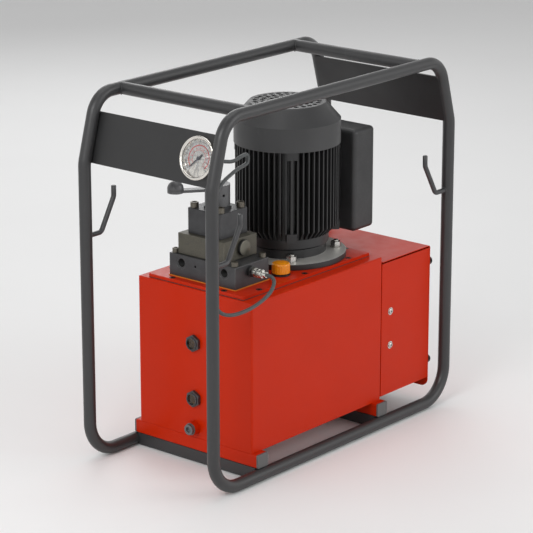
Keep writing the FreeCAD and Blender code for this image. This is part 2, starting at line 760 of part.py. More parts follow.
def side_screw(name, at, along):
    """Pan-head screw with a hexagon socket, pointing out of a side plate."""
    sign = 1 if along == "y" else -1
    head = rod(f"{name}_head", "6.4", "3.6", at, along)
    shank = rod(f"{name}_shank", "3.0", "9", (at[0], f"{at[1]} - {9 * sign}", at[2]), along)
    socket = hexagon(f"{name}_socket", "4", "4", (at[0], f"{at[1]} + {1.4 * sign}", at[2]), along)
    return cut(name, join(f"{name}_blank", head, shank), socket)


# ---------------------------------------------------------------- electric motor

MOTOR_AT = ("motor_place", "0", LID_TOP)
SHAFT_FOOT = f"({LID_BASE} - 40)"


def build_motor_shells():
    neck_end = f"fin_bottom - {LID_TOP}"
    groove_base = f"neck_groove_base - {LID_TOP}"
    groove_top = f"neck_groove_top - {LID_TOP}"
    shield = turned("motor_flange_blank", [
        ("18", "-5"), ("44.8", "-5"), ("44.8", "0"), ("flange_radius", "0"),
        ("flange_radius", "flange_thick"), ("neck_radius", "flange_thick"), ("neck_radius", groove_base),
        ("neck_groove_radius", groove_base), ("neck_groove_radius", groove_top),
        ("neck_band_radius", groove_top), ("neck_band_radius", neck_end), ("housing_bore", neck_end),
        ("housing_bore", "32"), ("31", "32"), ("31", "14"), ("18", "14"),
    ], MOTOR_AT)
    bolt_tools = []
    for number, angle in enumerate((45, 135, 225, 315)):
        bolt_tools.append(rod(f"flange_hole_{number}", "flange_bolt_radius + 0.1", "30",
                              motor_spot("flange_bolt_circle", angle, f"{LID_TOP} - 5")))
    flange_shield = cut("motor_flange_shield", shield, *bolt_tools)

    housing = doc.addObject("PartDesign::Body", "housing_core")
    ring = outline(housing, "XZ_Plane", [
        ("housing_bore", "fin_bottom"), ("housing_skin", "fin_bottom"),
        ("housing_skin", "fin_top"), ("housing_bore", "fin_top"),
    ])
    core = housing.newObject("PartDesign::Revolution", "housing_turned")
    core.Profile = ring
    core.ReferenceAxis = (ring, ["V_Axis"])
    core.Angle = 360
    fin_outline = outline(housing, "XZ_Plane", [
        ("housing_skin - 2", "fin_bottom"), ("94", "fin_bottom"), ("fin_radius", "fin_bottom + 20"),
        ("fin_radius", "fin_top"), ("housing_skin - 2", "fin_top"),
    ])
    fin = housing.newObject("PartDesign::Pad", "housing_fin")
    fin.Profile = fin_outline
    fin.Midplane = True
    bind(fin, Length="fin_thick")
    fins = housing.newObject("PartDesign::PolarPattern", "housing_fins")
    fins.Originals = [fin]
    fins.Axis = (ring, ["V_Axis"])
    fins.Angle = 360
    fins.Occurrences = 56
    housing.Tip = fins
    place(housing, ("motor_place", "0", "0"))

    lugs = []
    for number, angle in enumerate((45, 135, 225, 315)):
        for word, low, high, width in (("lower", "fin_bottom", "fin_bottom + 20", 22),
                                       ("upper", "fin_top - 30", "fin_top", 22),
                                       ("rib", "fin_bottom + 10", "fin_top - 20", 6)):
            reach = "cowl_radius - cowl_sheet - housing_skin + 4"
            if word == "rib":
                reach = "fin_radius - housing_skin + 4.6"
            lug = block(f"lug_{word}_{number}", reach, str(width), f"({high}) - ({low})", (
                f"motor_place + (housing_skin - 4) * cos({angle}) + {width / 2} * sin({angle})",
                f"(housing_skin - 4) * sin({angle}) - {width / 2} * cos({angle})",
                low,
            ))
            lug.Placement.Rotation = Rotation(Vector(0, 0, 1), angle)
            lugs.append(lug)
    pad = span("terminal_pad", ("(motor_place + housing_skin - 4)", "box_near"), ("(-42)", "42"),
               ("(box_bottom + 50)", "(box_top - 40)"))
    pad_way = span("terminal_way", ("(motor_place + housing_skin - 12)", "(box_near + 1)"), ("(-30)", "30"),
                   ("(box_bottom + 65)", "(box_top - 55)"))
    trim = rod("lug_trim", "cowl_radius - cowl_sheet - 0.05", "400", ("motor_place", "0", "fin_bottom"))
    trimmed = doc.addObject("Part::Common", "lugs_trimmed")
    trimmed.Base = join("lugs", *lugs)
    trimmed.Tool = trim
    clear_bore = rod("housing_clear_bore", "housing_bore", "400", ("motor_place", "0", "fin_bottom - 20"))
    motor_housing = cut("motor_housing", join("housing_joined", housing, trimmed, pad), clear_bore, pad_way)

    rear = turned("motor_rear_shield", [
        ("15", "fin_top - 10"), ("15", "fin_top - 2"), ("34", "fin_top - 2"), ("34", "fin_top - 8"),
        ("housing_bore - 0.05", "fin_top - 8"), ("housing_bore - 0.05", "fin_top - 18"), ("34",
                "fin_top - 18"),
        ("34", "fin_top - 26"), ("26", "fin_top - 26"), ("26", "fin_top - 10"),
    ], ("motor_place", "0", "0"))
    return [flange_shield, motor_housing, rear]


def build_motor_electrics():
    inner = "49.4 + air_gap"
    stator = turned("stator_core", [
        (inner, "490"), ("54", "490"), ("54", "468"), ("75", "468"), ("75",
                "490"), ("housing_bore - 0.05", "490"),
        ("housing_bore - 0.05", "604"), ("75", "604"), ("75", "626"), ("54", "626"), ("54",
                "604"), (inner, "604"),
    ], ("motor_place", "0", "0"))
    rotor = turned("rotor_core", [
        ("shaft_radius + 0.02", "486"), ("30", "486"), ("30", "490"), ("49.4", "490"), ("49.4", "604"),
        ("30", "604"), ("30", "608"), ("shaft_radius + 0.02", "608"),
    ], ("motor_place", "0", "0"))
    lower = turned("lower_bearing", [
        ("shaft_radius + 0.05", "14.1"), ("30.95", "14.1"), ("30.95", "30"), ("shaft_radius + 0.05", "30"),
    ], MOTOR_AT)
    upper = turned("upper_bearing", [
        ("shaft_radius + 0.05", "fin_top - 25"), ("25.95", "fin_top - 25"),
        ("25.95", "fin_top - 10.1"), ("shaft_radius + 0.05", "fin_top - 10.1"),
    ], ("motor_place", "0", "0"))
    shaft = rod("motor_shaft", "shaft_radius", f"708 - {SHAFT_FOOT}", ("motor_place", "0", SHAFT_FOOT))
    return [stator, rotor, group("motor_bearings", [lower, upper]), shaft, cooling_fan()]


def cooling_fan():
    """Radial fan with straight blades on a thin disc."""
    hub = rod("fan_hub", "24", "26", ("motor_place", "0", "678"))
    disc = rod("fan_disc", "96", "3", ("motor_place", "0", "678"))
    bore = rod("fan_bore", "shaft_radius + 0.02", "40", ("motor_place", "0", "670"))
    blades = []
    for number in range(8):
        angle = 45 * number
        blade = block(f"fan_blade_{number}", "74", "3", "22", (
            f"motor_place + 22 * cos({angle}) + 1.5 * sin({angle})",
            f"22 * sin({angle}) - 1.5 * cos({angle})",
            "680",
        ))
        blade.Placement.Rotation = Rotation(Vector(0, 0, 1), angle)
        blades.append(blade)
    return cut("cooling_fan", join("fan_blank", hub, disc, *blades), bore)


def build_cowl():
    skin = "cowl_sheet"
    shell = turned("cowl_shell", [
        ("cowl_radius", "cowl_bottom"), ("cowl_radius", "cowl_shoulder"),
        ("cowl_top_radius + 1", "cowl_top - 3"), ("cowl_top_radius - 2", "cowl_top"), ("0", "cowl_top"),
        ("0", f"cowl_top - {skin}"), (f"cowl_top_radius - 2 - {skin}", f"cowl_top - {skin}"),
        (f"cowl_top_radius - {skin}", "cowl_top - 4"), (f"cowl_radius - {skin}", f"cowl_shoulder - {skin}"),
        (f"cowl_radius - {skin}", "cowl_bottom"),
    ], ("motor_place", "0", "0"))
    holes = []
    for ring, count in ((22, 8), (38, 14), (54, 20), (70, 26)):
        for number in range(count):
            angle = 360 * number / count
            holes.append(rod(f"grille_{ring}_{number}", "5.6", "10",
                             motor_spot(ring, angle, "cowl_top - 6")))
    return cut("fan_cowl", shell, *holes)


def build_terminal_box():
    split = "(box_near + box_depth - 14)"
    rear = "(box_near + box_depth)"
    y = ("(-box_half_width)", "box_half_width")
    z = ("box_bottom", "box_top")

    def near_and_long(edge, box):
        runs_x = abs(edge.tangentAt(edge.FirstParameter).x) > 0.99
        return runs_x or abs(edge.CenterOfMass.x - box.XMin) < 0.1

    def far_and_long(edge, box):
        runs_x = abs(edge.tangentAt(edge.FirstParameter).x) > 0.99
        return runs_x or abs(edge.CenterOfMass.x - box.XMax) < 0.1

    inner_y = ("(box_wall - box_half_width)", "(box_half_width - box_wall)")
    inner_z = ("(box_bottom + box_wall)", "(box_top - box_wall)")
    inner_radius = "box_edge_radius - box_wall"
    case = rounded_block("terminal_case", ("box_near", split), y, z, "box_edge_radius", near_and_long)
    room = rounded_block("terminal_room", ("(box_near + box_wall)", f"({split} + 5)"), inner_y, inner_z,
                         inner_radius, near_and_long)
    way = span("terminal_case_way", ("(box_near - 5)", "(box_near + 8)"), ("(-30)", "30"),
               ("(box_bottom + 65)", "(box_top - 55)"))
    gland_x = "box_near + 26"
    gland_y = "40"
    gland_hole = rod("gland_hole", "8.1", "20", (gland_x, gland_y, "box_bottom - 10"))
    body = cut("terminal_box", case, room, way, gland_hole)
    lid_block = rounded_block("terminal_lid_block", (split, rear), y, z, "box_edge_radius", far_and_long)
    lid_room = rounded_block("terminal_lid_room", (f"({split} - 5)", f"({rear} - box_wall)"), inner_y,
                             inner_z, inner_radius, far_and_long)
    lid = cut("terminal_box_lid", lid_block, lid_room)
    gland_nut = hexagon("gland_nut", "22", "8", (gland_x, gland_y, "box_bottom - 8"))
    gland_dome = rod("gland_dome", "9.5", "12", (gland_x, gland_y, "box_bottom - 20"))
    gland_thread = rod("gland_thread", "8.0", "10", (gland_x, gland_y, "box_bottom"))
    gland_bore = rod("gland_bore", "5.0", "60", (gland_x, gland_y, "box_bottom - 30"))
    gland = cut("cable_gland", join("gland_blank", gland_nut, gland_dome, gland_thread), gland_bore)
    return [body, lid, gland]


def build_flange_bolts():
    bolts = []
    for number, angle in enumerate((45, 135, 225, 315)):
        def at(height):
            return motor_spot("flange_bolt_circle", angle, height)
        washer = rod(f"flange_washer_{number}", "12", "2.5", at(FLANGE_TOP))
        head = hexagon(f"flange_head_{number}", "20", "12", at(f"{FLANGE_TOP} + 2.5"))
        shank = rod(f"flange_shank_{number}", "flange_bolt_radius", "48.5", at(f"{FLANGE_TOP} - 31"))
        nut = hexagon(f"flange_nut_{number}", "18", "9", at(f"{LID_BASE} - 9"))
        bolts.append(join(f"flange_bolt_{number}", washer, head, shank, nut))
    return group("flange_bolts", bolts)


# ---------------------------------------------------------------- pump inside the tank

GEAR_TEETH = 12


def gear_outline(phase):
    """Corners of a straight-flanked gear, as radius and angle, tooth by tooth."""
    pitch = 360 / GEAR_TEETH
    corners = []
    for tooth in range(GEAR_TEETH):
        centre = phase + tooth * pitch
        for radius, half in (("(gear_centres / 2 - 2.9)", -9.0), ("(gear_centres / 2)", -6.3),
                             ("(gear_centres / 2 + 2.2)", -2.9), ("(gear_centres / 2 + 2.2)", 2.9),
                             ("(gear_centres / 2)", 6.3), ("(gear_centres / 2 - 2.9)", 9.0)):
            angle = centre + half
            corners.append((f"{radius} * cos({angle})", f"{radius} * sin({angle})"))
    return corners


def gear(name, phase, bore, at):
    blank = padded(f"{name}_blank", "XY_Plane", gear_outline(phase), "gear_width", at)
    return cut(name, blank, rod(f"{name}_bore", bore, "40", (at[0], at[1], f"{at[2]} - 10")))


def build_pump():
    gear_level = f"({GEAR_BASE} + 6)"
    idler_x = "motor_place + gear_centres"
    shaft_top = f"({SHAFT_FOOT} - 0.5)"
    coupling = turned("shaft_coupling", [
        ("shaft_radius + 0.02", f"{SHAFT_FOOT}"), ("shaft_radius + 0.02", f"{SHAFT_FOOT} + 21"),
        ("coupling_radius", f"{SHAFT_FOOT} + 21"), ("coupling_radius", f"{SHAFT_FOOT} - 22"),
        ("pump_shaft_radius + 0.02", f"{SHAFT_FOOT} - 22"), ("pump_shaft_radius + 0.02", f"{SHAFT_FOOT}"),
    ], ("motor_place", "0", "0"))
    spindle = rod("pump_spindle", "pump_shaft_radius", f"{shaft_top} - ({GEAR_BASE} + 3)",
                  ("motor_place", "0", f"{GEAR_BASE} + 3"))
    eccentric = rod("pump_eccentric", "eccentric_radius", "26",
                    ("motor_place + eccentric_throw", "0", f"{STAGE_BASE} + 22"))
    pump_shaft = join("pump_shaft", spindle, eccentric)
    drive_gear = gear("pump_drive_gear", 0, "pump_shaft_radius + 0.02", ("motor_place", "0", gear_level))
    driven_gear = gear("pump_driven_gear", 180 + 180 / GEAR_TEETH, "6.05", (idler_x, "0", gear_level))

    bell = turned("pump_bell", [
        ("bell_radius - 8", STAGE_BASE), ("stage_radius", STAGE_BASE), ("stage_radius", BELL_BASE),
        ("bell_radius", f"{BELL_BASE} + 4"), ("bell_radius", f"{LID_BASE} - 10"), ("bell_radius + 16",
                f"{LID_BASE} - 10"),
        ("bell_radius + 16", LID_BASE), ("bell_radius - 8", LID_BASE),
    ], ("motor_place", "0", "0"))
    floor = turned("pump_floor", [
        ("pump_shaft_radius + 0.05", STAGE_BASE), ("bell_radius - 4", STAGE_BASE),
        ("bell_radius - 4", BELL_BASE), ("pump_shaft_radius + 0.05", BELL_BASE),
        ("pump_shaft_radius + 0.05", f"{STAGE_BASE} + 52"), ("eccentric_radius + 8", f"{STAGE_BASE} + 52"),
        ("eccentric_radius + 8", f"{STAGE_BASE} + 18"), ("pump_shaft_radius + 0.05", f"{STAGE_BASE} + 18"),
    ], ("motor_place", "0", "0"))
    bores = []
    pistons = []
    for number in range(6):
        angle = 30 + 60 * number
        turn = Rotation(Vector(0, 0, 1), angle) * AXIS_TURN["x"]
        level = f"{STAGE_BASE} + 35"
        bore = rod(f"piston_bore_{number}", "7", "70", motor_spot("20", angle, level))
        bore.Placement.Rotation = turn
        bores.append(bore)
        piston = rod(f"piston_{number}", "6.9", "stage_radius + 3 - 26", motor_spot("26", angle, level))
        piston.Placement.Rotation = turn
        pistons.append(piston)
    housing = cut("pump_housing", join("pump_casting", bell, floor), *bores)

    box = span("gear_case", ("(motor_place - 27)", f"({idler_x} + 27)"), ("(-27)", "27"),
               (GEAR_BASE, STAGE_BASE))
    tools = []
    for word, x in (("drive", "motor_place"), ("idler", idler_x)):
        tools.append(rod(f"gear_room_{word}", "gear_centres / 2 + 2.5", "gear_width + 0.6",
                         (x, "0", f"{gear_level} - 0.3")))
    tools.append(rod("gear_shaft_way", "pump_shaft_radius + 0.05", "60",
                     ("motor_place", "0", f"{GEAR_BASE} + 2.5")))
    pin = rod("idler_pin", "6", "gear_width + 2", (idler_x, "0", f"{gear_level} - 1"))
    gear_housing = join("gear_housing", cut("gear_case_hollow", box, *tools), pin)

    can = turned("suction_strainer", [
        ("0", f"{GEAR_BASE} - 110"), ("strainer_radius", f"{GEAR_BASE} - 110"), ("strainer_radius",
                f"{GEAR_BASE} - 14"),
        ("11", f"{GEAR_BASE} - 14"), ("11", GEAR_BASE), ("8", GEAR_BASE), ("8", f"{GEAR_BASE} - 16"),
        ("strainer_radius - 2", f"{GEAR_BASE} - 16"), ("strainer_radius - 2", f"{GEAR_BASE} - 108"),
        ("0", f"{GEAR_BASE} - 108"),
    ], (idler_x, "0", "0"))
    nodes = [coupling, pump_shaft, drive_gear, driven_gear, housing, gear_housing]
    return nodes + [group("piston_elements", pistons), can, oil_pipes()]


def oil_pipes():
    """Steel pipe from the pump up to the manifold, and the straight return pipe."""
    rise_x = value("manifold_rear - 20")
    level = value(f"{STAGE_BASE} + 58")
    start = value("motor_place - stage_radius - 1")
    top = value(MANIFOLD_BASE)
    steps = bent_path([Vector(start, 0, level), Vector(rise_x, 0, level), Vector(rise_x, 0, top)], [22.0])
    delivery = shaped("delivery_pipe", tube_solid(steps, 6.0).cut(tube_solid(steps, 4.0)))
    drop = ("manifold_front + 26", "30", "tank_bottom + 50")
    outer = rod("return_outer", "8", f"{MANIFOLD_BASE} - tank_bottom - 50", drop)
    inner = rod("return_inner", "6.5", "400", drop)
    return group("oil_pipes", [delivery, cut("return_pipe", outer, inner)])


# ---------------------------------------------------------------- valve stack

def cap_screw(name, thread, length, at):
    """Socket-head cap screw standing on a face, with its shank going down."""
    head = rod(f"{name}_head", str(1.5 * thread), str(2.0 * thread), at)
    shank = rod(f"{name}_shank", str(thread), str(length), (at[0], at[1], f"{at[2]} - {length}"))
    socket = hexagon(f"{name}_socket", str(1.6 * thread), str(2 * thread),
                     (at[0], at[1], f"{at[2]} + {thread}"))
    return cut(name, join(f"{name}_blank", head, shank), socket)


def build_valve_stack():
    manifold_x = ("manifold_front", "manifold_rear")
    manifold_y = ("manifold_near", "manifold_far")
    relief_x = ("relief_front", "relief_rear")
    relief_y = ("relief_near", "relief_far")
    valve_x = ("valve_front", "valve_rear")
    valve_y = ("valve_near", "valve_far")
    manifold_spots = [(f"({x})", f"({y})") for x in ("manifold_front + 10", "manifold_rear - 10")
                      for y in ("manifold_near + 10", "manifold_far - 10")]
    valve_spots = [(f"({x})", f"({y})") for x in ("valve_front + 10", "valve_rear - 10")
                   for y in ("valve_near + 10.5", "valve_far - 10.5")]
    screws = []
    manifold_tools = []
    gasket_tools = []
    valve_tools = []
    relief_tools = []
    for number, (x, y) in enumerate(manifold_spots):
        screws.append(cap_screw(f"manifold_screw_{number}", 5.0, 44, (x, y, MANIFOLD_TOP)))
        manifold_tools.append(rod(f"manifold_hole_{number}", "5.1", "60", (x, y, f"{MANIFOLD_TOP} - 44.2")))
    for number, (x, y) in enumerate(valve_spots):
        screws.append(cap_screw(f"valve_screw_{number}", 6.0, 80, (x, y, VALVE_TOP)))
        hole = rod(f"valve_hole_{number}", "6.1", "110", (x, y, f"{VALVE_TOP} - 80.2"))
        valve_tools.append(hole)
        relief_tools.append(hole)
    for word in ("near", "far"):
        spot_y = f"{word}_port_place"
        port_z = f"{MANIFOLD_BASE} + port_height"
        manifold_tools.append(rod(f"port_{word}", "port_radius", "28",
                                  ("manifold_front - 5", spot_y, port_z), "x"))
        manifold_tools.append(rod(f"port_face_{word}", "13.6", "6",
                                  ("manifold_front - 5", spot_y, port_z), "x"))
    manifold_tools.append(rod("port_small", "2.7", "17",
                              ("manifold_front - 5", "18.4", f"{MANIFOLD_BASE} + 30"), "x"))
    manifold_tools.append(rod("port_test", "5.1", "20",
                              ("test_place", "manifold_near - 5", "test_height"), "y"))
    for name, radius, x, y in (("pressure", 4.0, "manifold_rear - 20", "0"),
                               ("return", 6.5, "manifold_front + 26", "30")):
        manifold_tools.append(rod(f"manifold_{name}_way", str(radius), "20",
                                  (x, y, f"{MANIFOLD_BASE} - 2")))
        gasket_tools.append(rod(f"gasket_{name}_way", str(radius + 4), "20", (x, y, f"{LID_TOP} - 2")))
    manifold = cut("base_manifold", rounded_block("manifold_blank", manifold_x, manifold_y,
                                                  (MANIFOLD_BASE,
                                                   MANIFOLD_TOP), "1", every_edge, "Chamfer"),
                   *manifold_tools)
    gasket = cut("manifold_gasket", span("manifold_sheet", ("(manifold_front - 1)", "(manifold_rear + 1)"),
                                         ("(manifold_near - 1)", "(manifold_far + 1)"), (LID_TOP,
                                                 MANIFOLD_BASE)),
                 *gasket_tools)
    plug_at = ("relief_front + 59", "relief_near", f"{MANIFOLD_TOP} + 24")
    relief_tools.append(rod("relief_plug_hole", "9.1", "16", (plug_at[0], "relief_near - 2", plug_at[2]),
                            "y"))
    relief = cut("relief_block", rounded_block("relief_blank", relief_x, relief_y,
                                               (MANIFOLD_TOP, RELIEF_TOP),
                                               "1", every_edge, "Chamfer"), *relief_tools)
    plug_head = rod("relief_plug_head", "17.5", "6.5", (plug_at[0], "relief_near - 1.5", plug_at[2]), "-y")
    plug_neck = rod("relief_plug_neck", "9", "15", (plug_at[0], "relief_near - 2", plug_at[2]), "y")
    relief_plug = join("relief_plug", plug_head, plug_neck)
    valve_tools.append(rod("spool_bore", "spool_radius + 0.05", "60",
                           (VALVE_X, VALVE_Y, f"{VALVE_TOP} - 40")))
    boss = rod("valve_boss", "hub_radius + 2.5", "5", (VALVE_X, VALVE_Y, VALVE_TOP))
    blank = rounded_block("valve_blank", valve_x, valve_y, (RELIEF_TOP, VALVE_TOP), "1", every_edge,
                          "Chamfer")
    valve_body = cut("valve_body", join("valve_casting", blank, boss), *valve_tools)
    nodes = [manifold, gasket, relief, relief_plug, valve_body, group("valve_stack_screws", screws)]
    return nodes + build_lever()


def build_lever():
    """Hub, flat arm and knob on top of the valve; the spool below turns with them."""
    hub_base = f"({VALVE_TOP} + 5.5)"
    arm_level = f"({hub_base} + 31)"
    hub = rod("lever_hub", "hub_radius", "hub_height", (VALVE_X, VALVE_Y, hub_base))
    arm = block("lever_arm", "lever_reach", "lever_width", "lever_thick", (
        f"{VALVE_X} + lever_width / 2 * sin(lever_heading)",
        f"{VALVE_Y} - lever_width / 2 * cos(lever_heading)",
        arm_level,
    ))
    arm.Placement.Rotation = Rotation(Vector(0, 0, 1), value("lever_heading"))
    tip = (f"{VALVE_X} + lever_reach * cos(lever_heading)", f"{VALVE_Y} + lever_reach * sin(lever_heading)")
    pad = rod("lever_pad", "lever_knob_radius", "lever_thick", (*tip, arm_level))
    screw_way = rod("lever_screw_hole", "3", "60", (VALVE_X, VALVE_Y, f"{arm_level} - 6"), "-y")
    screw_way.Placement.Rotation = Rotation(Vector(0, 0, 1), -19) * AXIS_TURN["-y"]
    lever = cut("valve_lever", join("lever_blank", hub, arm, pad), screw_way)
    dome = doc.addObject("Part::Sphere", "lever_dome")
    dome.Angle1 = 0
    bind(dome, Radius="lever_knob_radius")
    place(dome, (*tip, f"{arm_level} + lever_thick + 2"))
    skirt = rod("lever_skirt", "lever_knob_radius", "2", (*tip, f"{arm_level} + lever_thick"))
    knob = join("lever_knob", skirt, dome)
    spool = rod("valve_spool", "spool_radius", f"{hub_base} - ({VALVE_TOP} - 36)",
                (VALVE_X, VALVE_Y, f"{VALVE_TOP} - 36"))
    return [lever, knob, spool]


# ---------------------------------------------------------------- filler, test fitting and hose

def build_filler():
    at = ("filler_place", "filler_across", LID_TOP)
    neck = turned("filler_neck", [
        ("10", "-16"), ("13.3", "-16"), ("13.3", "0"), ("filler_radius + 0.6",
                                                        "0"), ("filler_radius + 0.6", "4"),
        ("14", "4"), ("14", "16"), ("10", "16"),
    ], at)
    cap = turned("filler_cap", [
        ("14.6", "4.3"), ("filler_radius", "4.3"), ("filler_radius", "25"), ("filler_radius - 2.2", "27.6"),
        ("0", "27.6"), ("0", "19"), ("14.6", "19"),
    ], at)
    return [neck, cap]


# The test hose's route between its two end fittings: out of the fitting, down in a loop past the
# tank's top edge, up behind the near front post, and over to the back of the gauge.
HOSE_ROUTE = [
    (-186.0, -157.0, 431.0),
    (-195.0, -168.0, 420.0),
    (-216.0, -174.0, 406.0),
    (-250.0, -175.5, 393.5),
    (-292.0, -172.5, 384.5),
    (-337.0, -167.0, 384.0),
    (-368.0, -162.5, 399.0),
    (-381.0, -160.0, 434.0),
    (-384.0, -159.5, 480.0),
    (-383.5, -159.3, 540.0),
    (-380.0, -157.0, 598.0),
    (-367.0, -152.0, 638.0),
    (-335.0, -144.5, 661.0),
    (-290.0, -134.0, 671.0),
    (-256.0, -125.0, 674.5),
    (-237.5, -120.5, 674.5),
    (-220.5, -118.0, 678.0),
    (-220.0, -117.0, 696.0),
    (-238.0, -117.0, 695.5),
    (-262.0, -117.0, 688.5),
    (-285.0, -117.0, 691.5),
]


# Where the two clips hold the hose to the post: along the hose at these places.
CLIP_PLACES = [(-383.4, -159.9, 476.0), (-383.0, -159.1, 540.0)]


def build_test_line():
    hex_part = hexagon("test_hex", "22", "8", ("test_place", "manifold_near", "test_height"), "-y")
    barrel = rod("test_barrel", "10.2", "27", ("test_place", "manifold_near - 8", "test_height"), "-y")
    thread = rod("test_thread", "5", "9", ("test_place", "manifold_near", "test_height"), "y")
    fitting = join("test_fitting", hex_part, barrel, thread)
    lower_end = rod("hose_end_lower", "7.0", "10.5", ("test_place", "manifold_near - 35", "test_height"),
                    "-y")
    upper_end = on_gauge_axis(rod("hose_end_upper", "6.5", "24", ("0", "0", "0"), "x"), "3.6 + 52")
    ends = group("hose_end_fittings", [lower_end, upper_end])

    lean = math.atan2(value("post_lean"), value("top_rail_height - kink_height"))
    exit_depth = 3.6 + 52 + 24
    gauge_end = Vector(value(GAUGE_X) + exit_depth * math.cos(lean), value("gauge_place"),
                       value("gauge_height") - exit_depth * math.sin(lean))
    test_end = Vector(value("test_place"), value("manifold_near - 45.5"), value("test_height"))
    route = [test_end] + [Vector(*point) for point in HOSE_ROUTE] + [gauge_end]
    radii = []
    for back, here, on in zip(route, route[1:], route[2:]):
        turn = (here - back).getAngle(on - here)
        shorter = min((here - back).Length, (on - here).Length)
        radii.append(0.45 * shorter / math.tan(turn / 2))
    print("hose arc radii", [round(radius, 1) for radius in radii])
    steps = bent_path(route, radii)
    solid = tube_solid(steps, value("hose_radius"))
    section = math.pi * value("hose_radius") ** 2
    print("hose length", round(path_length(steps), 1), "volume ratio",
          solid.Volume / (section * path_length(steps)))
    return [fitting, ends, shaped("gauge_hose", solid), hose_clips(steps)]


def hose_clips(steps):
    """Two saddle clips that hold the hose to the inner side of the near front post."""
    post = ("-frame_half_length", "-frame_half_width")
    hose_way = shaped("clip_hose_way", tube_solid(steps, value("hose_radius") + 0.4))
    clips = []
    for number, (x, y, level) in enumerate(CLIP_PLACES):
        foot = f"{level} - 4"
        post_band = rod(f"clip_post_band_{number}", "tube_radius + 1.6", "8", (*post, foot))
        hose_band = rod(f"clip_hose_band_{number}", "hose_radius + 2.2", "8", (f"{x}", f"{y}", foot))
        bridge = block(f"clip_bridge_{number}", "12", "4", "8", (
            f"{post[0]} + 12 * cos(45) + 2 * sin(45)", f"{post[1]} + 12 * sin(45) - 2 * cos(45)", foot))
        bridge.Placement.Rotation = Rotation(Vector(0, 0, 1), 45)
        post_way = rod(f"clip_post_way_{number}", "tube_radius + 0.05", "20", (*post, f"{level} - 10"))
        whole = cut(f"clip_whole_{number}", join(f"clip_blank_{number}", post_band, hose_band, bridge),
                    post_way, hose_way)
        inner_side = doc.addObject("Part::Common", f"clip_{number}")
        inner_side.Base = whole
        inner_side.Tool = block(f"clip_side_{number}", "60", "60", "60", (*post, f"{level} - 30"))
        clips.append(inner_side)
    return group("hose_clips", clips)


def build_all():
    nodes = build_frame() + build_gauge()
    nodes += [build_tank()] + build_lid() + build_feet() + build_sight_glasses()
    nodes += [build_drain_plug()] + build_cover()
    nodes += build_motor_shells() + build_motor_electrics()
    nodes += [build_cowl()] + build_terminal_box() + [build_flange_bolts()]
    nodes += build_pump() + build_valve_stack() + build_filler() + build_test_line()
    return nodes


def check_and_export(nodes):
    doc.removeObject("probe")
    doc.recompute()
    faults = [item.Name for item in doc.Objects if {"Invalid", "Error"} & set(item.State)]
    if faults:
        raise RuntimeError(f"objects failed to build: {faults}")
    for node in nodes:
        shape = node.Shape
        if shape.isNull() or not shape.isValid() or not shape.Solids:
            raise RuntimeError(f"{node.Label} has no valid solid")
    os.makedirs("parts", exist_ok=True)
    for node in nodes:
        node.Shape.exportStep(f"parts/{node.Label}.step")
    print(len(nodes), "nodes written")


check_and_export(build_all())
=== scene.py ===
"""Hydraulic power unit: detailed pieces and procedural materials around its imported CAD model.

Lengths in the helpers' arguments are millimetres unless a name says otherwise, and MM turns them
into Blender's metres. Places come from the CAD nodes' own boxes and from the record.
"""
import json
import math

import bmesh
import bpy
from mathutils import Matrix, Vector


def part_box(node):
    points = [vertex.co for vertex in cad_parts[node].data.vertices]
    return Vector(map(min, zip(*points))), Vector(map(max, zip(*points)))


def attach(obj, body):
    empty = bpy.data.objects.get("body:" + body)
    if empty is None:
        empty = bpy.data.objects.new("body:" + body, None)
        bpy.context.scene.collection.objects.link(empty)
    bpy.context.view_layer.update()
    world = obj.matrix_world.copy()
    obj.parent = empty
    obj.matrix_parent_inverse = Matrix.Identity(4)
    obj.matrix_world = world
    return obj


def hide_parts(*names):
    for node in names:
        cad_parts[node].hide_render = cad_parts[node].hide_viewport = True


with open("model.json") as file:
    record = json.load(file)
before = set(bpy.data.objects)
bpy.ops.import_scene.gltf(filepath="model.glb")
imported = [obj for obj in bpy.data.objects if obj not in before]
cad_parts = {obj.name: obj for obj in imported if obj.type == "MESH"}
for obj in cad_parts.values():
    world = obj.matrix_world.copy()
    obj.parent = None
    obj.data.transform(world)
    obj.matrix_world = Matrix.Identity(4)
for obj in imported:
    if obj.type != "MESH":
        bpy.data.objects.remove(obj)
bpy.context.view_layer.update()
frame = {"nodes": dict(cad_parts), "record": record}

MM = 0.001
ROOT = "power_unit"
TUBE_RADIUS = 13.45 * MM
MERGE_GAP = 1e-6


RECORD = frame["record"]
JOINTS = {joint["name"]: joint for joint in RECORD["behaviour"]["joints"]}
SLOT_OF = {part["node"]: part["material_slot"] for part in RECORD["subparts"]}

DOWN = Vector((0, 0, -1))
UP = Vector((0, 0, 1))
FRONT = Vector((-1, 0, 0))
REAR = Vector((1, 0, 0))
NEAR = Vector((0, -1, 0))
FAR = Vector((0, 1, 0))


# ---------------------------------------------------------------- material helpers

SHADE_SHARE = 0.55


def scaled(color, factor, lift=0.0):
    """A colour made lighter or darker, kept within white."""
    return [min(1.0, c * factor + lift) for c in color]


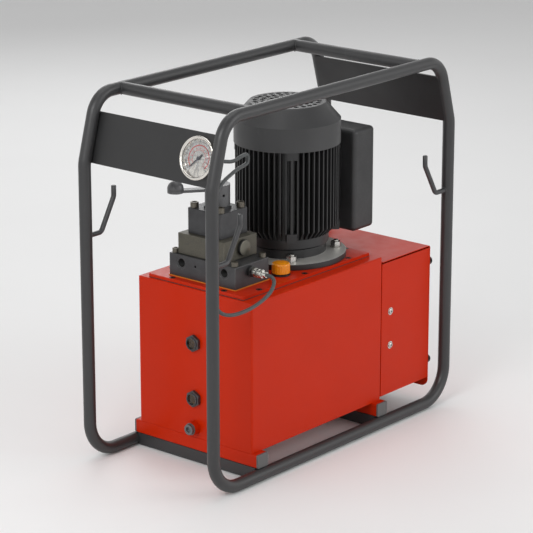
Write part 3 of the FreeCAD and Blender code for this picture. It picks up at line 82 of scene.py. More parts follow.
class Surface:
    """A Principled material with helpers for the textures that feed it."""

    def __init__(self, name, color, roughness, metallic=0.0, **sockets):
        self.material = bpy.data.materials.new(name)
        self.material.use_nodes = True
        self.tree = self.material.node_tree
        self.shader = self.tree.nodes["Principled BSDF"]
        self.color = (*color, 1.0)
        self.shader.inputs["Base Color"].default_value = self.color
        self.shader.inputs["Roughness"].default_value = roughness
        self.shader.inputs["Metallic"].default_value = metallic
        for socket, number in sockets.items():
            self.shader.inputs[socket.replace("_", " ")].default_value = number
        self.coords = self.tree.nodes.new("ShaderNodeTexCoord").outputs["Object"]
        self.last_bump = None

    def join(self, output, socket):
        self.tree.links.new(output, socket)

    def stretched(self, stretch):
        """Object coordinates, squeezed along the axes whose factor is above 1."""
        mapping = self.tree.nodes.new("ShaderNodeMapping")
        mapping.inputs["Scale"].default_value = stretch
        self.join(self.coords, mapping.inputs["Vector"])
        return mapping.outputs["Vector"]

    def noise(self, size, detail=3.0, stretch=None, distortion=0.0):
        """Noise whose features are about size millimetres across."""
        node = self.tree.nodes.new("ShaderNodeTexNoise")
        node.inputs["Scale"].default_value = 1.0 / (size * MM)
        node.inputs["Detail"].default_value = detail
        node.inputs["Distortion"].default_value = distortion
        self.join(self.stretched(stretch) if stretch else self.coords, node.inputs["Vector"])
        return node.outputs["Fac"]

    def cells(self, size, feature="F1", stretch=None):
        node = self.tree.nodes.new("ShaderNodeTexVoronoi")
        node.feature = feature
        node.inputs["Scale"].default_value = 1.0 / (size * MM)
        self.join(self.stretched(stretch) if stretch else self.coords, node.inputs["Vector"])
        return node.outputs["Distance"]

    def remap(self, value, low, high, to_low, to_high):
        node = self.tree.nodes.new("ShaderNodeMapRange")
        for socket, number in zip(("From Min", "From Max", "To Min", "To Max"), (low, high, to_low, to_high)):
            node.inputs[socket].default_value = number
        self.join(value, node.inputs["Value"])
        return node.outputs["Result"]

    def multiply(self, first, second):
        node = self.tree.nodes.new("ShaderNodeMath")
        node.operation = "MULTIPLY"
        self.join(first, node.inputs[0])
        self.join(second, node.inputs[1])
        return node.outputs["Value"]

    def tint(self, amount, color):
        """Mixes another colour into the base colour by amount."""
        node = self.tree.nodes.new("ShaderNodeMix")
        node.data_type = "RGBA"
        base = self.shader.inputs["Base Color"]
        if base.is_linked:
            self.join(base.links[0].from_socket, node.inputs["A"])
        else:
            node.inputs["A"].default_value = self.color
        node.inputs["B"].default_value = (*color, 1.0)
        self.join(amount, node.inputs["Factor"])
        self.join(node.outputs["Result"], base)
        return self

    def shade(self, value, low, high, strength):
        """Darker patches where value is low."""
        dark = scaled(self.color[:3], SHADE_SHARE)
        return self.tint(self.remap(value, low, high, strength, 0.0), dark)

    def rough(self, value, low, high):
        self.join(self.remap(value, 0.3, 0.7, low, high), self.shader.inputs["Roughness"])
        return self

    def bump(self, height, strength, depth):
        """Adds relief of about depth millimetres."""
        node = self.tree.nodes.new("ShaderNodeBump")
        node.inputs["Strength"].default_value = strength
        node.inputs["Distance"].default_value = depth * MM
        self.join(height, node.inputs["Height"])
        if self.last_bump:
            self.join(self.last_bump, node.inputs["Normal"])
        self.last_bump = node.outputs["Normal"]
        self.join(self.last_bump, self.shader.inputs["Normal"])
        return self


def powder_coat(name, color, roughness=0.42):
    """Satin powder coat: fine grain, slow change in gloss, faint rub marks and dust."""
    surface = Surface(name, color, roughness, Coat_Weight=0.12, Coat_Roughness=0.3)
    grain = surface.noise(1.1, 4.0)
    cloud = surface.noise(60.0, 3.0)
    scuff = surface.remap(surface.noise(9.0, 6.0, (1.0, 1.0, 0.25)), 0.62, 0.72, 0.0, 0.35)
    surface.tint(surface.remap(cloud, 0.3, 0.7, 0.0, 0.35), scaled(color, 1.35))
    surface.tint(scuff, scaled(color, 1.7))
    surface.rough(cloud, roughness - 0.07, roughness + 0.08)
    return surface.bump(grain, 0.35, 0.06).bump(surface.noise(4.5, 2.0), 0.2, 0.08).material


def gloss_paint(name, color):
    """Baked gloss enamel on sheet steel: orange peel, a clear coat and a trace of dust."""
    surface = Surface(name, color, 0.4, Coat_Weight=0.03, Coat_Roughness=0.15, Specular_IOR_Level=0.13)
    cloud = surface.noise(130.0, 3.0)
    surface.tint(surface.remap(cloud, 0.3, 0.7, 0.0, 0.22), scaled(color, 0.8))
    surface.tint(surface.remap(surface.noise(2.2, 6.0), 0.66, 0.78, 0.0, 0.12), (0.75, 0.62, 0.55))
    surface.rough(surface.noise(35.0, 4.0), 0.3, 0.42)
    return surface.bump(surface.noise(2.6, 2.0), 0.16, 0.1).bump(surface.noise(90.0, 1.0), 0.1, 0.6).material


def cast_paint(name, color, roughness=0.5):
    """Paint over a sand or die casting: pebbled skin with a few pits."""
    surface = Surface(name, color, roughness)
    pebble = surface.noise(2.4, 5.0)
    pits = surface.remap(surface.cells(5.0), 0.0, 0.16, 0.0, 1.0)
    surface.tint(surface.remap(surface.noise(40.0, 3.0), 0.35, 0.7, 0.0, 0.5), scaled(color, 1.6))
    surface.rough(pebble, roughness - 0.1, roughness + 0.12)
    return surface.bump(pebble, 0.4, 0.25).bump(pits, 0.2, 0.12).material


def machined(name, color, roughness=0.36, metallic=0.85, lay=(0.12, 1.0, 1.0), blotch=0.4, size=0.7):
    """Milled or turned steel: fine tool marks along one way and an uneven finish."""
    surface = Surface(name, color, roughness, metallic)
    marks = surface.noise(size, 3.0, lay)
    cloud = surface.noise(22.0, 5.0, distortion=0.4)
    surface.shade(cloud, 0.35, 0.65, blotch)
    surface.tint(surface.remap(surface.noise(3.0, 6.0), 0.62, 0.8, 0.0, 0.3), scaled(color, 1.6, 0.02))
    surface.rough(marks, roughness - 0.06, roughness + 0.1)
    return surface.bump(marks, 0.22, 0.03).bump(surface.noise(2.0, 3.0), 0.1, 0.03).material


def phosphated(name, color):
    """Phosphate-coated steel: matt, grainy and slightly mottled between grey and olive."""
    surface = Surface(name, color, 0.5, 0.45)
    mottle = surface.noise(3.2, 8.0, distortion=0.6)
    surface.tint(surface.remap(mottle, 0.4, 0.62, 0.0, 0.55), scaled(color, 1.45))
    bluish = (color[0] * 0.8, color[1] * 0.82, color[2] * 0.95)
    surface.tint(surface.remap(surface.noise(16.0, 4.0), 0.5, 0.7, 0.0, 0.4), bluish)
    surface.rough(mottle, 0.42, 0.6)
    return surface.bump(surface.noise(0.6, 4.0), 0.3, 0.03).material


def plated(name, color, roughness=0.14):
    """Bright plating with hairline scratches and a slight haze."""
    surface = Surface(name, color, roughness, 1.0)
    hair = surface.noise(0.5, 2.0, (0.08, 1.0, 1.0))
    haze = surface.noise(7.0, 4.0)
    surface.shade(haze, 0.3, 0.55, 0.25)
    surface.rough(haze, roughness - 0.05, roughness + 0.12)
    return surface.bump(hair, 0.08, 0.01).material


def moulded(name, color, roughness=0.32, grain=0.5, soft=0.0):
    """Injection-moulded plastic: faint grain, flow marks and soft highlights."""
    surface = Surface(name, color, roughness,
                      Subsurface_Weight=soft, Subsurface_Scale=0.002, Coat_Weight=0.08)
    flow = surface.noise(14.0, 3.0, (1.0, 1.0, 0.3), 0.8)
    surface.shade(flow, 0.3, 0.6, 0.22)
    surface.tint(surface.remap(surface.noise(2.0, 5.0), 0.64, 0.78, 0.0, 0.12), scaled(color, 1.3, 0.03))
    surface.rough(flow, roughness - 0.05, roughness + 0.1)
    return surface.bump(surface.noise(0.45, 2.0), 0.2, 0.02 * grain / 0.5).material


def hose_cover(name, color):
    """Smooth rubber hose cover with a pressed cloth pattern and a little bloom."""
    surface = Surface(name, color, 0.48, Sheen_Weight=0.12, Sheen_Roughness=0.4)
    wrap = surface.cells(1.3)
    bloom = surface.noise(6.0, 5.0)
    surface.tint(surface.remap(bloom, 0.4, 0.7, 0.0, 0.45), scaled(color, 1.7, 0.01))
    surface.rough(bloom, 0.4, 0.58)
    return surface.bump(wrap, 0.25, 0.05).material


def pressed_fibre(name, color):
    """Gasket sheet: matt fibres pressed flat."""
    surface = Surface(name, color, 0.8)
    fibres = surface.noise(0.8, 6.0, (0.3, 1.0, 1.0), 1.2)
    surface.shade(fibres, 0.35, 0.65, 0.6)
    return surface.bump(fibres, 0.5, 0.05).material


def laminated(name, color):
    """A stack of thin steel sheets with a little rust between them."""
    surface = Surface(name, color, 0.45, 0.7)
    sheets = surface.noise(0.5, 1.0, (0.02, 0.02, 1.0))
    surface.shade(sheets, 0.4, 0.6, 0.7)
    surface.tint(surface.remap(surface.noise(8.0, 6.0), 0.6, 0.75, 0.0, 0.4), (0.25, 0.11, 0.05))
    return surface.bump(sheets, 0.6, 0.1).material


def woven_wire(name, color):
    """Fine wire mesh: two crossed sets of wires."""
    surface = Surface(name, color, 0.35, 0.9)
    weave = surface.multiply(surface.cells(0.9, stretch=(1.0, 1.0, 0.2)),
                             surface.cells(0.9, stretch=(0.2, 0.2, 1.0)))
    surface.shade(weave, 0.05, 0.3, 0.8)
    return surface.bump(weave, 0.8, 0.15).material


def clear_glass(name, color, roughness=0.02):
    """Clear or tinted glass with a few smears."""
    surface = Surface(name, color, roughness, Transmission_Weight=1.0, IOR=1.45)
    smear = surface.noise(11.0, 4.0, distortion=1.0)
    surface.rough(smear, roughness, roughness + 0.05)
    return surface.bump(surface.noise(20.0, 1.0), 0.03, 0.05).material


def enamel(name, color, roughness=0.35):
    """Printed or enamelled dial face: nearly even, with a faint silk-screen grain."""
    surface = Surface(name, color, roughness)
    surface.shade(surface.noise(18.0, 3.0), 0.25, 0.6, 0.08)
    surface.rough(surface.noise(1.0, 3.0), roughness - 0.05, roughness + 0.08)
    return surface.bump(surface.noise(0.3, 2.0), 0.06, 0.01).material


RED = (0.51, 0.019, 0.0002)
PAINTS = {
    "frame_paint": powder_coat("frame_paint", (0.027, 0.027, 0.028), 0.42),
    "panel_paint": powder_coat("panel_paint", (0.012, 0.012, 0.0125), 0.5),
    "hook_paint": powder_coat("hook_paint", (0.036, 0.036, 0.038), 0.36),
    "tank_paint": gloss_paint("tank_paint", RED),
    "cover_paint": gloss_paint("cover_paint", RED),
    "gasket_cork": pressed_fibre("gasket_cork", (0.045, 0.042, 0.04)),
    "black_screws": machined("black_screws", (0.03, 0.03, 0.03), 0.4, 0.6),
    "bright_screws": plated("bright_screws", (0.62, 0.61, 0.58), 0.2),
    "end_caps": moulded("end_caps", (0.1, 0.1, 0.1), 0.45),
    "sight_glass_metal": machined("sight_glass_metal", (0.085, 0.087, 0.09), 0.36, 0.7),
    "sight_glass_lens": clear_glass("sight_glass_lens", (0.62, 0.4, 0.2), 0.08),
    "drain_steel": machined("drain_steel", (0.17, 0.175, 0.18), 0.36, 0.8),
    "motor_paint": cast_paint("motor_paint", (0.015, 0.015, 0.0155), 0.42),
    "cowl_paint": powder_coat("cowl_paint", (0.03, 0.03, 0.031), 0.44),
    "terminal_box_paint": cast_paint("terminal_box_paint", (0.03, 0.03, 0.031), 0.45),
    "stator_steel": laminated("stator_steel", (0.35, 0.32, 0.29)),
    "rotor_steel": laminated("rotor_steel", (0.45, 0.45, 0.45)),
    "shaft_steel": machined("shaft_steel", (0.55, 0.55, 0.54), 0.22, 1.0, (1.0, 1.0, 0.2)),
    "fan_plastic": moulded("fan_plastic", (0.02, 0.02, 0.02), 0.45),
    "gland_plastic": moulded("gland_plastic", (0.018, 0.018, 0.018), 0.42),
    "pump_iron": cast_paint("pump_iron", (0.14, 0.14, 0.14), 0.5),
    "gear_steel": machined("gear_steel", (0.42, 0.42, 0.41), 0.28, 1.0),
    "strainer_mesh": woven_wire("strainer_mesh", (0.5, 0.5, 0.48)),
    "pipe_steel": machined("pipe_steel", (0.45, 0.45, 0.44), 0.26, 1.0, (1.0, 1.0, 0.1)),
    "manifold_steel": machined("manifold_steel", (0.07, 0.07, 0.073), 0.42, 0.55),
    "manifold_gasket": pressed_fibre("manifold_gasket", (0.7, 0.22, 0.02)),
    "relief_steel": phosphated("relief_steel", (0.085, 0.079, 0.062)),
    "valve_steel": machined("valve_steel", (0.07, 0.07, 0.073), 0.42, 0.55, (1.0, 0.12, 1.0)),
    "stack_screws": machined("stack_screws", (0.16, 0.145, 0.12), 0.32, 0.85, (1.0, 1.0, 0.15)),
    "lever_steel": powder_coat("lever_steel", (0.085, 0.085, 0.088), 0.42),
    "lever_knob": moulded("lever_knob", (0.085, 0.085, 0.088), 0.38),
    "gauge_steel": plated("gauge_steel", (0.78, 0.75, 0.7), 0.1),
    "gauge_dial": enamel("gauge_dial", (0.84, 0.84, 0.84)),
    "gauge_needle": enamel("gauge_needle", (0.012, 0.016, 0.03), 0.3),
    "gauge_glass": clear_glass("gauge_glass", (0.97, 0.97, 0.97)),
    "neck_plastic": moulded("neck_plastic", (0.012, 0.012, 0.012), 0.4),
    "filler_cap": moulded("filler_cap", (0.8, 0.27, 0.002), 0.3, 0.8, 0.08),
    "fitting_steel": plated("fitting_steel", (0.66, 0.65, 0.61), 0.16),
    "hose_rubber": hose_cover("hose_rubber", (0.05, 0.055, 0.056)),
}
# Lighter steel for the rounded edges of the dark machined blocks: it paints a highlight along those edges.
EDGE_HIGHLIGHT_PAINT = machined("painted_edge_highlight", (0.13, 0.13, 0.13), 0.3, 0.85)
# Lighter olive steel: on the relief block's rounded edges it paints a highlight, and it is also the relief
# plug's bare face.
RELIEF_HIGHLIGHT_AND_PLUG_FACE = machined("relief_highlight_and_plug_face", (0.17, 0.16, 0.13), 0.34, 0.8)
FLANGE_FACE = machined("flange_face", (0.6, 0.59, 0.56), 0.42, 0.5, (1.0, 1.0, 1.0), 0.25)
RED_INK = enamel("red_ink", (0.62, 0.03, 0.025), 0.4)
BLACK_INK = enamel("black_ink", (0.015, 0.015, 0.02), 0.4)
FITTING_BLACK = machined("fitting_black", (0.05, 0.05, 0.05), 0.35, 0.8)
# Near-black steel for the port threads: it paints the shade deep in the bores.
PORT_PAINTED_SHADE = machined("port_painted_shade", (0.006, 0.006, 0.006), 0.6, 0.3)
# Dark steel of the rear thumb screws; inside the side screws' sockets it paints the shade.
THUMB_STEEL_AND_SOCKET_SHADE = machined("thumb_steel_and_socket_shade", (0.05, 0.05, 0.05), 0.32, 0.8)


# ---------------------------------------------------------------- mesh helpers

def node_mesh(node):
    """A CAD node's mesh with its doubled vertices merged."""
    bm = bmesh.new()
    bm.from_mesh(frame["nodes"][node].data)
    bmesh.ops.remove_doubles(bm, verts=bm.verts, dist=MERGE_GAP)
    return bm


def solid_boxes(node):
    """(low, high) of each separate solid in a CAD node, sorted by their low corners."""
    bm = node_mesh(node)
    unseen = set(bm.verts)
    boxes = []
    while unseen:
        stack = [unseen.pop()]
        low, high = stack[0].co.copy(), stack[0].co.copy()
        while stack:
            vert = stack.pop()
            low = Vector(map(min, low, vert.co))
            high = Vector(map(max, high, vert.co))
            for edge in vert.link_edges:
                other = edge.other_vert(vert)
                if other in unseen:
                    unseen.remove(other)
                    stack.append(other)
        boxes.append((low, high))
    bm.free()
    return sorted(boxes, key=lambda pair: tuple(round(number, 4) for number in pair[0]))


def facing(direction, at):
    """A matrix that turns +Z to a direction and moves the origin to a place."""
    return Matrix.Translation(at) @ Vector(direction).to_track_quat("Z", "Y").to_matrix().to_4x4()


def polar(radius, angle, height):
    """A point in metres, from a radius and a height in millimetres."""
    return Vector((radius * math.cos(angle), radius * math.sin(angle), height)) * MM


def loft(bm, rings, closed=False, caps=True, slot=0):
    """Skins a row of equal rings of points into bm."""
    rows = [[bm.verts.new(point) for point in ring] for ring in rings]
    count = len(rows[0])
    pairs = list(zip(rows, rows[1:]))
    if closed:
        pairs.append((rows[-1], rows[0]))
    faces = []
    for lower, upper in pairs:
        for n in range(count):
            after = (n + 1) % count
            faces.append(bm.faces.new((lower[n], lower[after], upper[after], upper[n])))
    if caps and not closed:
        faces.append(bm.faces.new(list(reversed(rows[0]))))
        faces.append(bm.faces.new(rows[-1]))
    for face in faces:
        face.material_index = slot


def spun(bm, profile, matrix, sides=48, slot=0, caps=True, shape=None):
    """A turned piece. profile is (radius, height); shape(angle, radius, row) may change the radius."""
    rings = []
    for row, (radius, height) in enumerate(profile):
        ring = []
        for n in range(sides):
            angle = 2 * math.pi * n / sides
            reach = shape(angle, radius, row) if shape else radius
            ring.append(matrix @ polar(reach, angle, height))
        rings.append(ring)
    loft(bm, rings, caps=caps, slot=slot)


def hexagon_reach(angle, flats):
    """Distance in mm from the middle of a hexagon to its side, at an angle."""
    within = (angle + math.pi / 6) % (math.pi / 3) - math.pi / 6
    return flats / 2 / math.cos(within)


def hexagonal(flats, rows):
    """A shape for spun that makes some of its rows hexagonal."""
    return lambda angle, reach, row: hexagon_reach(angle, flats) if row in rows else reach


def knurled(angle, reach, teeth, depth):
    """The radius of a knurled side at an angle."""
    return reach - depth * (0.5 + 0.5 * math.cos(teeth * angle))


HEX_FACE_SHARE = 0.95
HEX_CHAMFER = math.radians(30)


def hex_head(bm, flats, height, matrix, bore=0.0, sides=72):
    """Hexagonal head or nut whose outer corners are chamfered by a cone."""
    face = HEX_FACE_SHARE * flats / 2
    rings = []
    for part in ("foot", "low", "high", "top"):
        ring = []
        for n in range(sides):
            angle = 2 * math.pi * n / sides
            reach = hexagon_reach(angle, flats)
            drop = (reach - face) * math.tan(HEX_CHAMFER)
            spot = {
                "foot": (face, 0.0),
                "low": (reach, drop * 0.6),
                "high": (reach, height - drop),
                "top": (face, height),
            }[part]
            ring.append(matrix @ polar(spot[0], angle, spot[1]))
        rings.append(ring)
    if bore:
        for level in (height, 0.0):
            rings.append([matrix @ polar(bore, 2 * math.pi * n / sides, level) for n in range(sides)])
    loft(bm, rings, closed=bool(bore))


SOCKET_CHAMFER = 0.35
KNURL_TEETH = 32


def socket_head(bm, radius, height, matrix, flats):
    """Socket-head cap screw's head: knurled side, chamfered top and a hexagonal recess."""
    edge = radius * 0.08
    profile = [
        (radius - 0.4, 0.0), (radius, 0.4), (radius, height - edge * 2.2),
        (radius - 0.1, height - edge * 1.6),
        (radius - edge * 1.7, height), (flats / 2 + SOCKET_CHAMFER, height), (flats / 2, height - 0.4),
        (flats / 2, height * 0.45), (0.05, height * 0.4),
    ]

    def shape(angle, reach, row):
        if row in (1, 2):
            return knurled(angle, reach, KNURL_TEETH, 0.18)
        if row == 5:
            return hexagon_reach(angle, flats) + SOCKET_CHAMFER
        if row in (6, 7):
            return hexagon_reach(angle, flats)
        return reach

    spun(bm, profile, matrix, KNURL_TEETH * 4, shape=shape)


def sweep(bm, points, radius, sides=28, closed=False, start_up=None, ripple=None):
    """A round bar along a row of points in metres; ripple(n) changes its radius along the way."""
    count = len(points)
    rings = []
    across = None
    for n, here in enumerate(points):
        back = points[(n - 1) % count] if closed or n > 0 else here
        on = points[(n + 1) % count] if closed or n < count - 1 else here
        heading = (on - back).normalized()
        if across is None:
            across = start_up or heading.orthogonal().normalized()
        across = (across - heading * across.dot(heading)).normalized()
        side = heading.cross(across)
        reach = radius * (ripple(n) if ripple else 1.0)
        rings.append([
            here + (across * math.cos(turn) + side * math.sin(turn)) * reach
            for turn in (2 * math.pi * k / sides for k in range(sides))
        ])
    loft(bm, rings, closed=closed)


def bent_line(corners, radii, turn_step):
    """Points along straight runs joined by tangent arcs."""
    count = len(corners)
    line = []
    for n, corner in enumerate(corners):
        radius = radii[n]
        if not radius:
            line.append(corner.copy())
            continue
        back = (corners[n - 1] - corner).normalized()
        on = (corners[(n + 1) % count] - corner).normalized()
        turn = math.pi - back.angle(on)
        centre = corner + (back + on).normalized() * (radius / math.cos(turn / 2))
        first = corner + back * radius * math.tan(turn / 2) - centre
        axis = back.cross(on).normalized()
        steps = max(3, round(math.degrees(turn) / turn_step))
        for k in range(steps + 1):
            line.append(centre + Matrix.Rotation(-turn * k / steps, 3, axis) @ first)
    return line


def piece(name, bm, slot, replaces=(), materials=None, body=ROOT, sharp=32.0):
    """Makes an object of bm that rides on a body and stands for the CAD nodes it replaces."""
    bmesh.ops.recalc_face_normals(bm, faces=bm.faces)
    mesh = bpy.data.meshes.new(name)
    bm.to_mesh(mesh)
    bm.free()
    mesh.shade_smooth()
    mesh.set_sharp_from_angle(angle=math.radians(sharp))
    for material in materials or [PAINTS[slot]]:
        mesh.materials.append(material)
    return settle(bpy.data.objects.new(name, mesh), body, replaces)


def settle(obj, body, replaces=()):
    """Puts an object into the scene and on its body, and hides the CAD nodes it replaces."""
    bpy.context.scene.collection.objects.link(obj)
    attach(obj, body)
    if replaces:
        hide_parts(*replaces)
    return obj


def body_of_node(node):
    return next(body for body, nodes in RECORD["behaviour"]["bodies"].items() if node in nodes)


FLAT_ANGLE = math.radians(0.4)
BEVEL_ANGLE = math.radians(34.0)
BEVEL_STEPS = 2


def softened(node, width, edge=None, faces=None):
    """A CAD node with its sharp edges really rounded, so that they catch the light.

    edge is another material for the rounded edges, here a lighter one that paints a highlight along them;
    faces is (material, test) for chosen faces.
    """
    slot = SLOT_OF[node]
    bm = node_mesh(node)
    bmesh.ops.dissolve_limit(bm, angle_limit=FLAT_ANGLE, verts=bm.verts, edges=bm.edges)
    bm.normal_update()
    materials = [PAINTS[slot]]
    if faces:
        materials.append(faces[0])
    for face in bm.faces:
        face.material_index = 1 if faces and faces[1](face) else 0
    if edge:
        materials.append(edge)
    rough = bpy.data.meshes.new(f"{node}_rough")
    bm.to_mesh(rough)
    bm.free()
    rough.shade_smooth()
    for material in materials:
        rough.materials.append(material)
    maker = bpy.data.objects.new(f"{node}_maker", rough)
    bpy.context.scene.collection.objects.link(maker)
    bevel = maker.modifiers.new("rounding", "BEVEL")
    bevel.width = width * MM
    bevel.segments = BEVEL_STEPS
    bevel.limit_method = "ANGLE"
    bevel.angle_limit = BEVEL_ANGLE
    bevel.use_clamp_overlap = True
    if edge:
        bevel.material = len(materials) - 1
    flatten = maker.modifiers.new("flat_faces", "WEIGHTED_NORMAL")
    flatten.mode = "FACE_AREA"
    flatten.weight = 100
    flatten.keep_sharp = True
    graph = bpy.context.evaluated_depsgraph_get()
    mesh = bpy.data.meshes.new_from_object(maker.evaluated_get(graph), preserve_all_data_layers=True,
                                           depsgraph=graph)
    mesh.name = f"{node}_detail"
    bpy.data.objects.remove(maker)
    return settle(bpy.data.objects.new(f"{node}_detail", mesh), body_of_node(node), (node,))


# ---------------------------------------------------------------- frame

KINK_HEIGHT = 0.6628
POST_LEAN = 0.040
LOWER_BEND = 0.075
UPPER_BEND = 0.058
KINK_BEND = 0.070


def hoop(node):
    """One bent tube loop, rebuilt as one smooth sweep."""
    low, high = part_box(node)
    tube = (high.y - low.y) / 2
    y = (high.y + low.y) / 2
    out = high.x - tube
    top = high.z - tube
    corners = [Vector(spot) for spot in (
        (-out, y, tube), (-out, y, KINK_HEIGHT), (POST_LEAN - out, y, top),
        (out - POST_LEAN, y, top), (out, y, KINK_HEIGHT), (out, y, tube))]
    radii = [LOWER_BEND, KINK_BEND, UPPER_BEND, UPPER_BEND, KINK_BEND, LOWER_BEND]
    bm = bmesh.new()
    sweep(bm, bent_line(corners, radii, turn_step=3.0), tube, 40, closed=True, start_up=FAR)
    piece(f"{node}_tube", bm, "frame_paint", (node,), sharp=60)


WELD_PROUD = 0.0006
WELD_BELOW_TOP = 0.0018
TUBE_WELD_RADIUS = 1.5 * MM
HOOK_WELD_RADIUS = 1.3 * MM


def weld_ripple(share, pace):
    """The scales of a weld bead, as a change of its radius along the way."""
    return lambda n: 1.0 + share * math.sin(n * pace)


def cross_tubes():
    """The two top cross tubes, and the weld bead where each meets a hoop."""
    bm = bmesh.new()
    beads = bmesh.new()
    hoop_low, hoop_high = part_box("frame_hoop_near")
    radius = (hoop_high.y - hoop_low.y) / 2
    hoop_y = abs(hoop_high.y + hoop_low.y) / 2
    for low, high in solid_boxes("top_cross_tubes"):
        x, z = (low.x + high.x) / 2, (low.z + high.z) / 2
        sweep(bm, [Vector((x, -hoop_y, z)), Vector((x, hoop_y, z))], radius, 40, start_up=UP)
        for side in (-1, 1):
            seam = []
            for n in range(96):
                angle = 2 * math.pi * n / 96
                gap = radius * abs(math.cos(angle))
                seam.append(Vector((x + radius * math.cos(angle), side * (hoop_y - gap - WELD_PROUD),
                                    min(z + radius * math.sin(angle), hoop_high.z - WELD_BELOW_TOP))))
            sweep(beads, seam, TUBE_WELD_RADIUS, 8, closed=True, ripple=weld_ripple(0.16, 1.6))
    piece("cross_tube_bars", bm, "frame_paint", ("top_cross_tubes",), sharp=60)
    piece("cross_tube_welds", beads, "frame_paint", sharp=80)


HOOK_FOOT = 0.046
HOOK_HEEL = 0.086
HOOK_RISE = 0.070
HOOK_START = 0.010
HOOK_BENDS = [0, 0.013, 0.016, 0]
TIP_LEAN = 0.0004
TIP_DROP = 0.0012
TIP_ROUNDING = 0.0011


def hose_hooks():
    """Four bent rods, each with a rounded tip and a weld round its foot."""
    bm = bmesh.new()
    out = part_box("frame_hoop_near")[1].x - TUBE_RADIUS
    for low, high in solid_boxes("hose_hooks"):
        end = 1 if low.x > 0 else -1
        rod = (high.y - low.y) / 2
        y = (high.y + low.y) / 2
        z = low.z + rod
        tip = high.z - z
        corners = [Vector(spot) for spot in (
            (end * (out - HOOK_START), y, z), (end * (out - HOOK_FOOT), y, z),
            (end * (out - HOOK_HEEL), y, z + HOOK_RISE),
            (end * (out - HOOK_HEEL - TIP_LEAN), y, z + tip - TIP_DROP))]
        line = bent_line(corners, HOOK_BENDS, turn_step=6.0)
        line.append(line[-1] + Vector((0, 0, TIP_ROUNDING)))
        last = len(line) - 1
        sweep(bm, line, rod, 24, start_up=FAR, ripple=lambda n, last=last: 0.8 if n == last else 1.0)
        weld = []
        for n in range(36):
            angle = 2 * math.pi * n / 36
            side = rod * math.cos(angle)
            depth = math.sqrt(TUBE_RADIUS ** 2 - side ** 2)
            weld.append(Vector((end * (out - depth - 0.0004), y + side * 1.08,
                                z + rod * 1.08 * math.sin(angle))))
        sweep(bm, weld, HOOK_WELD_RADIUS, 8, closed=True, ripple=weld_ripple(0.18, 1.9))
    piece("hose_hook_rods", bm, "hook_paint", ("hose_hooks",), sharp=50)


# ---------------------------------------------------------------- gauge

NEEDLE_TO_FACE = 3.6
SWEEP_START = math.radians(225)
SWEEP = math.radians(270)
PRINT_HEIGHT = -9.85
RED_PRINT, BLACK_PRINT = 1, 2
ARCS = ((33.2, 33.6, BLACK_PRINT), (25.4, 27.4, RED_PRINT), (16.4, 17.3, RED_PRINT))
LONG_MARK, HALF_MARK, SHORT_MARK, MARK_END = 29.6, 31.4, 32.2, 33.3
RED_LONG_MARK, RED_SHORT_MARK, RED_MARK_END = 23.2, 24.6, 26.8
GAUGE_STEM = 52.0


def gauge_face():
    """The gauge's own frame: X right and Y up as its reader sees them, Z towards the reader."""
    joint = JOINTS["gauge_needle_sweep"]
    inward = Vector(joint["axis"]).normalized()
    up = (UP - inward * UP.dot(inward)).normalized()
    right = inward.cross(up)
    turn = Matrix((right, up, -inward)).transposed().to_4x4()
    return Matrix.Translation(Vector(joint["pos_m"]) + inward * NEEDLE_TO_FACE * MM) @ turn


def flat_ring(bm, matrix, inner, outer, start, sweep_angle, slot, steps=90):
    """A flat printed arc on the dial, from the zero mark's side clockwise."""
    rows = []
    for n in range(steps + 1):
        angle = start - sweep_angle * n / steps
        rows.append([bm.verts.new(matrix @ polar(r, angle, PRINT_HEIGHT)) for r in (inner, outer)])
    for a, b in zip(rows, rows[1:]):
        bm.faces.new((a[0], a[1], b[1], b[0])).material_index = slot


def dial_number(bm, matrix, text, radius, angle, size, slot):
    """A number printed upright at a place on the dial."""
    curve = bpy.data.curves.new(f"number_{text}", "FONT")
    curve.body = text
    curve.size = size * MM
    curve.align_x = "CENTER"
    curve.align_y = "CENTER"
    maker = bpy.data.objects.new(f"number_{text}", curve)
    bpy.context.scene.collection.objects.link(maker)
    graph = bpy.context.evaluated_depsgraph_get()
    mesh = bpy.data.meshes.new_from_object(maker.evaluated_get(graph))
    bpy.data.objects.remove(maker)
    mesh.transform(matrix @ Matrix.Translation(polar(radius, angle, PRINT_HEIGHT)))
    first = len(bm.faces)
    bm.from_mesh(mesh)
    bm.faces.ensure_lookup_table()
    for face in bm.faces[first:]:
        face.material_index = slot
    bpy.data.meshes.remove(mesh)


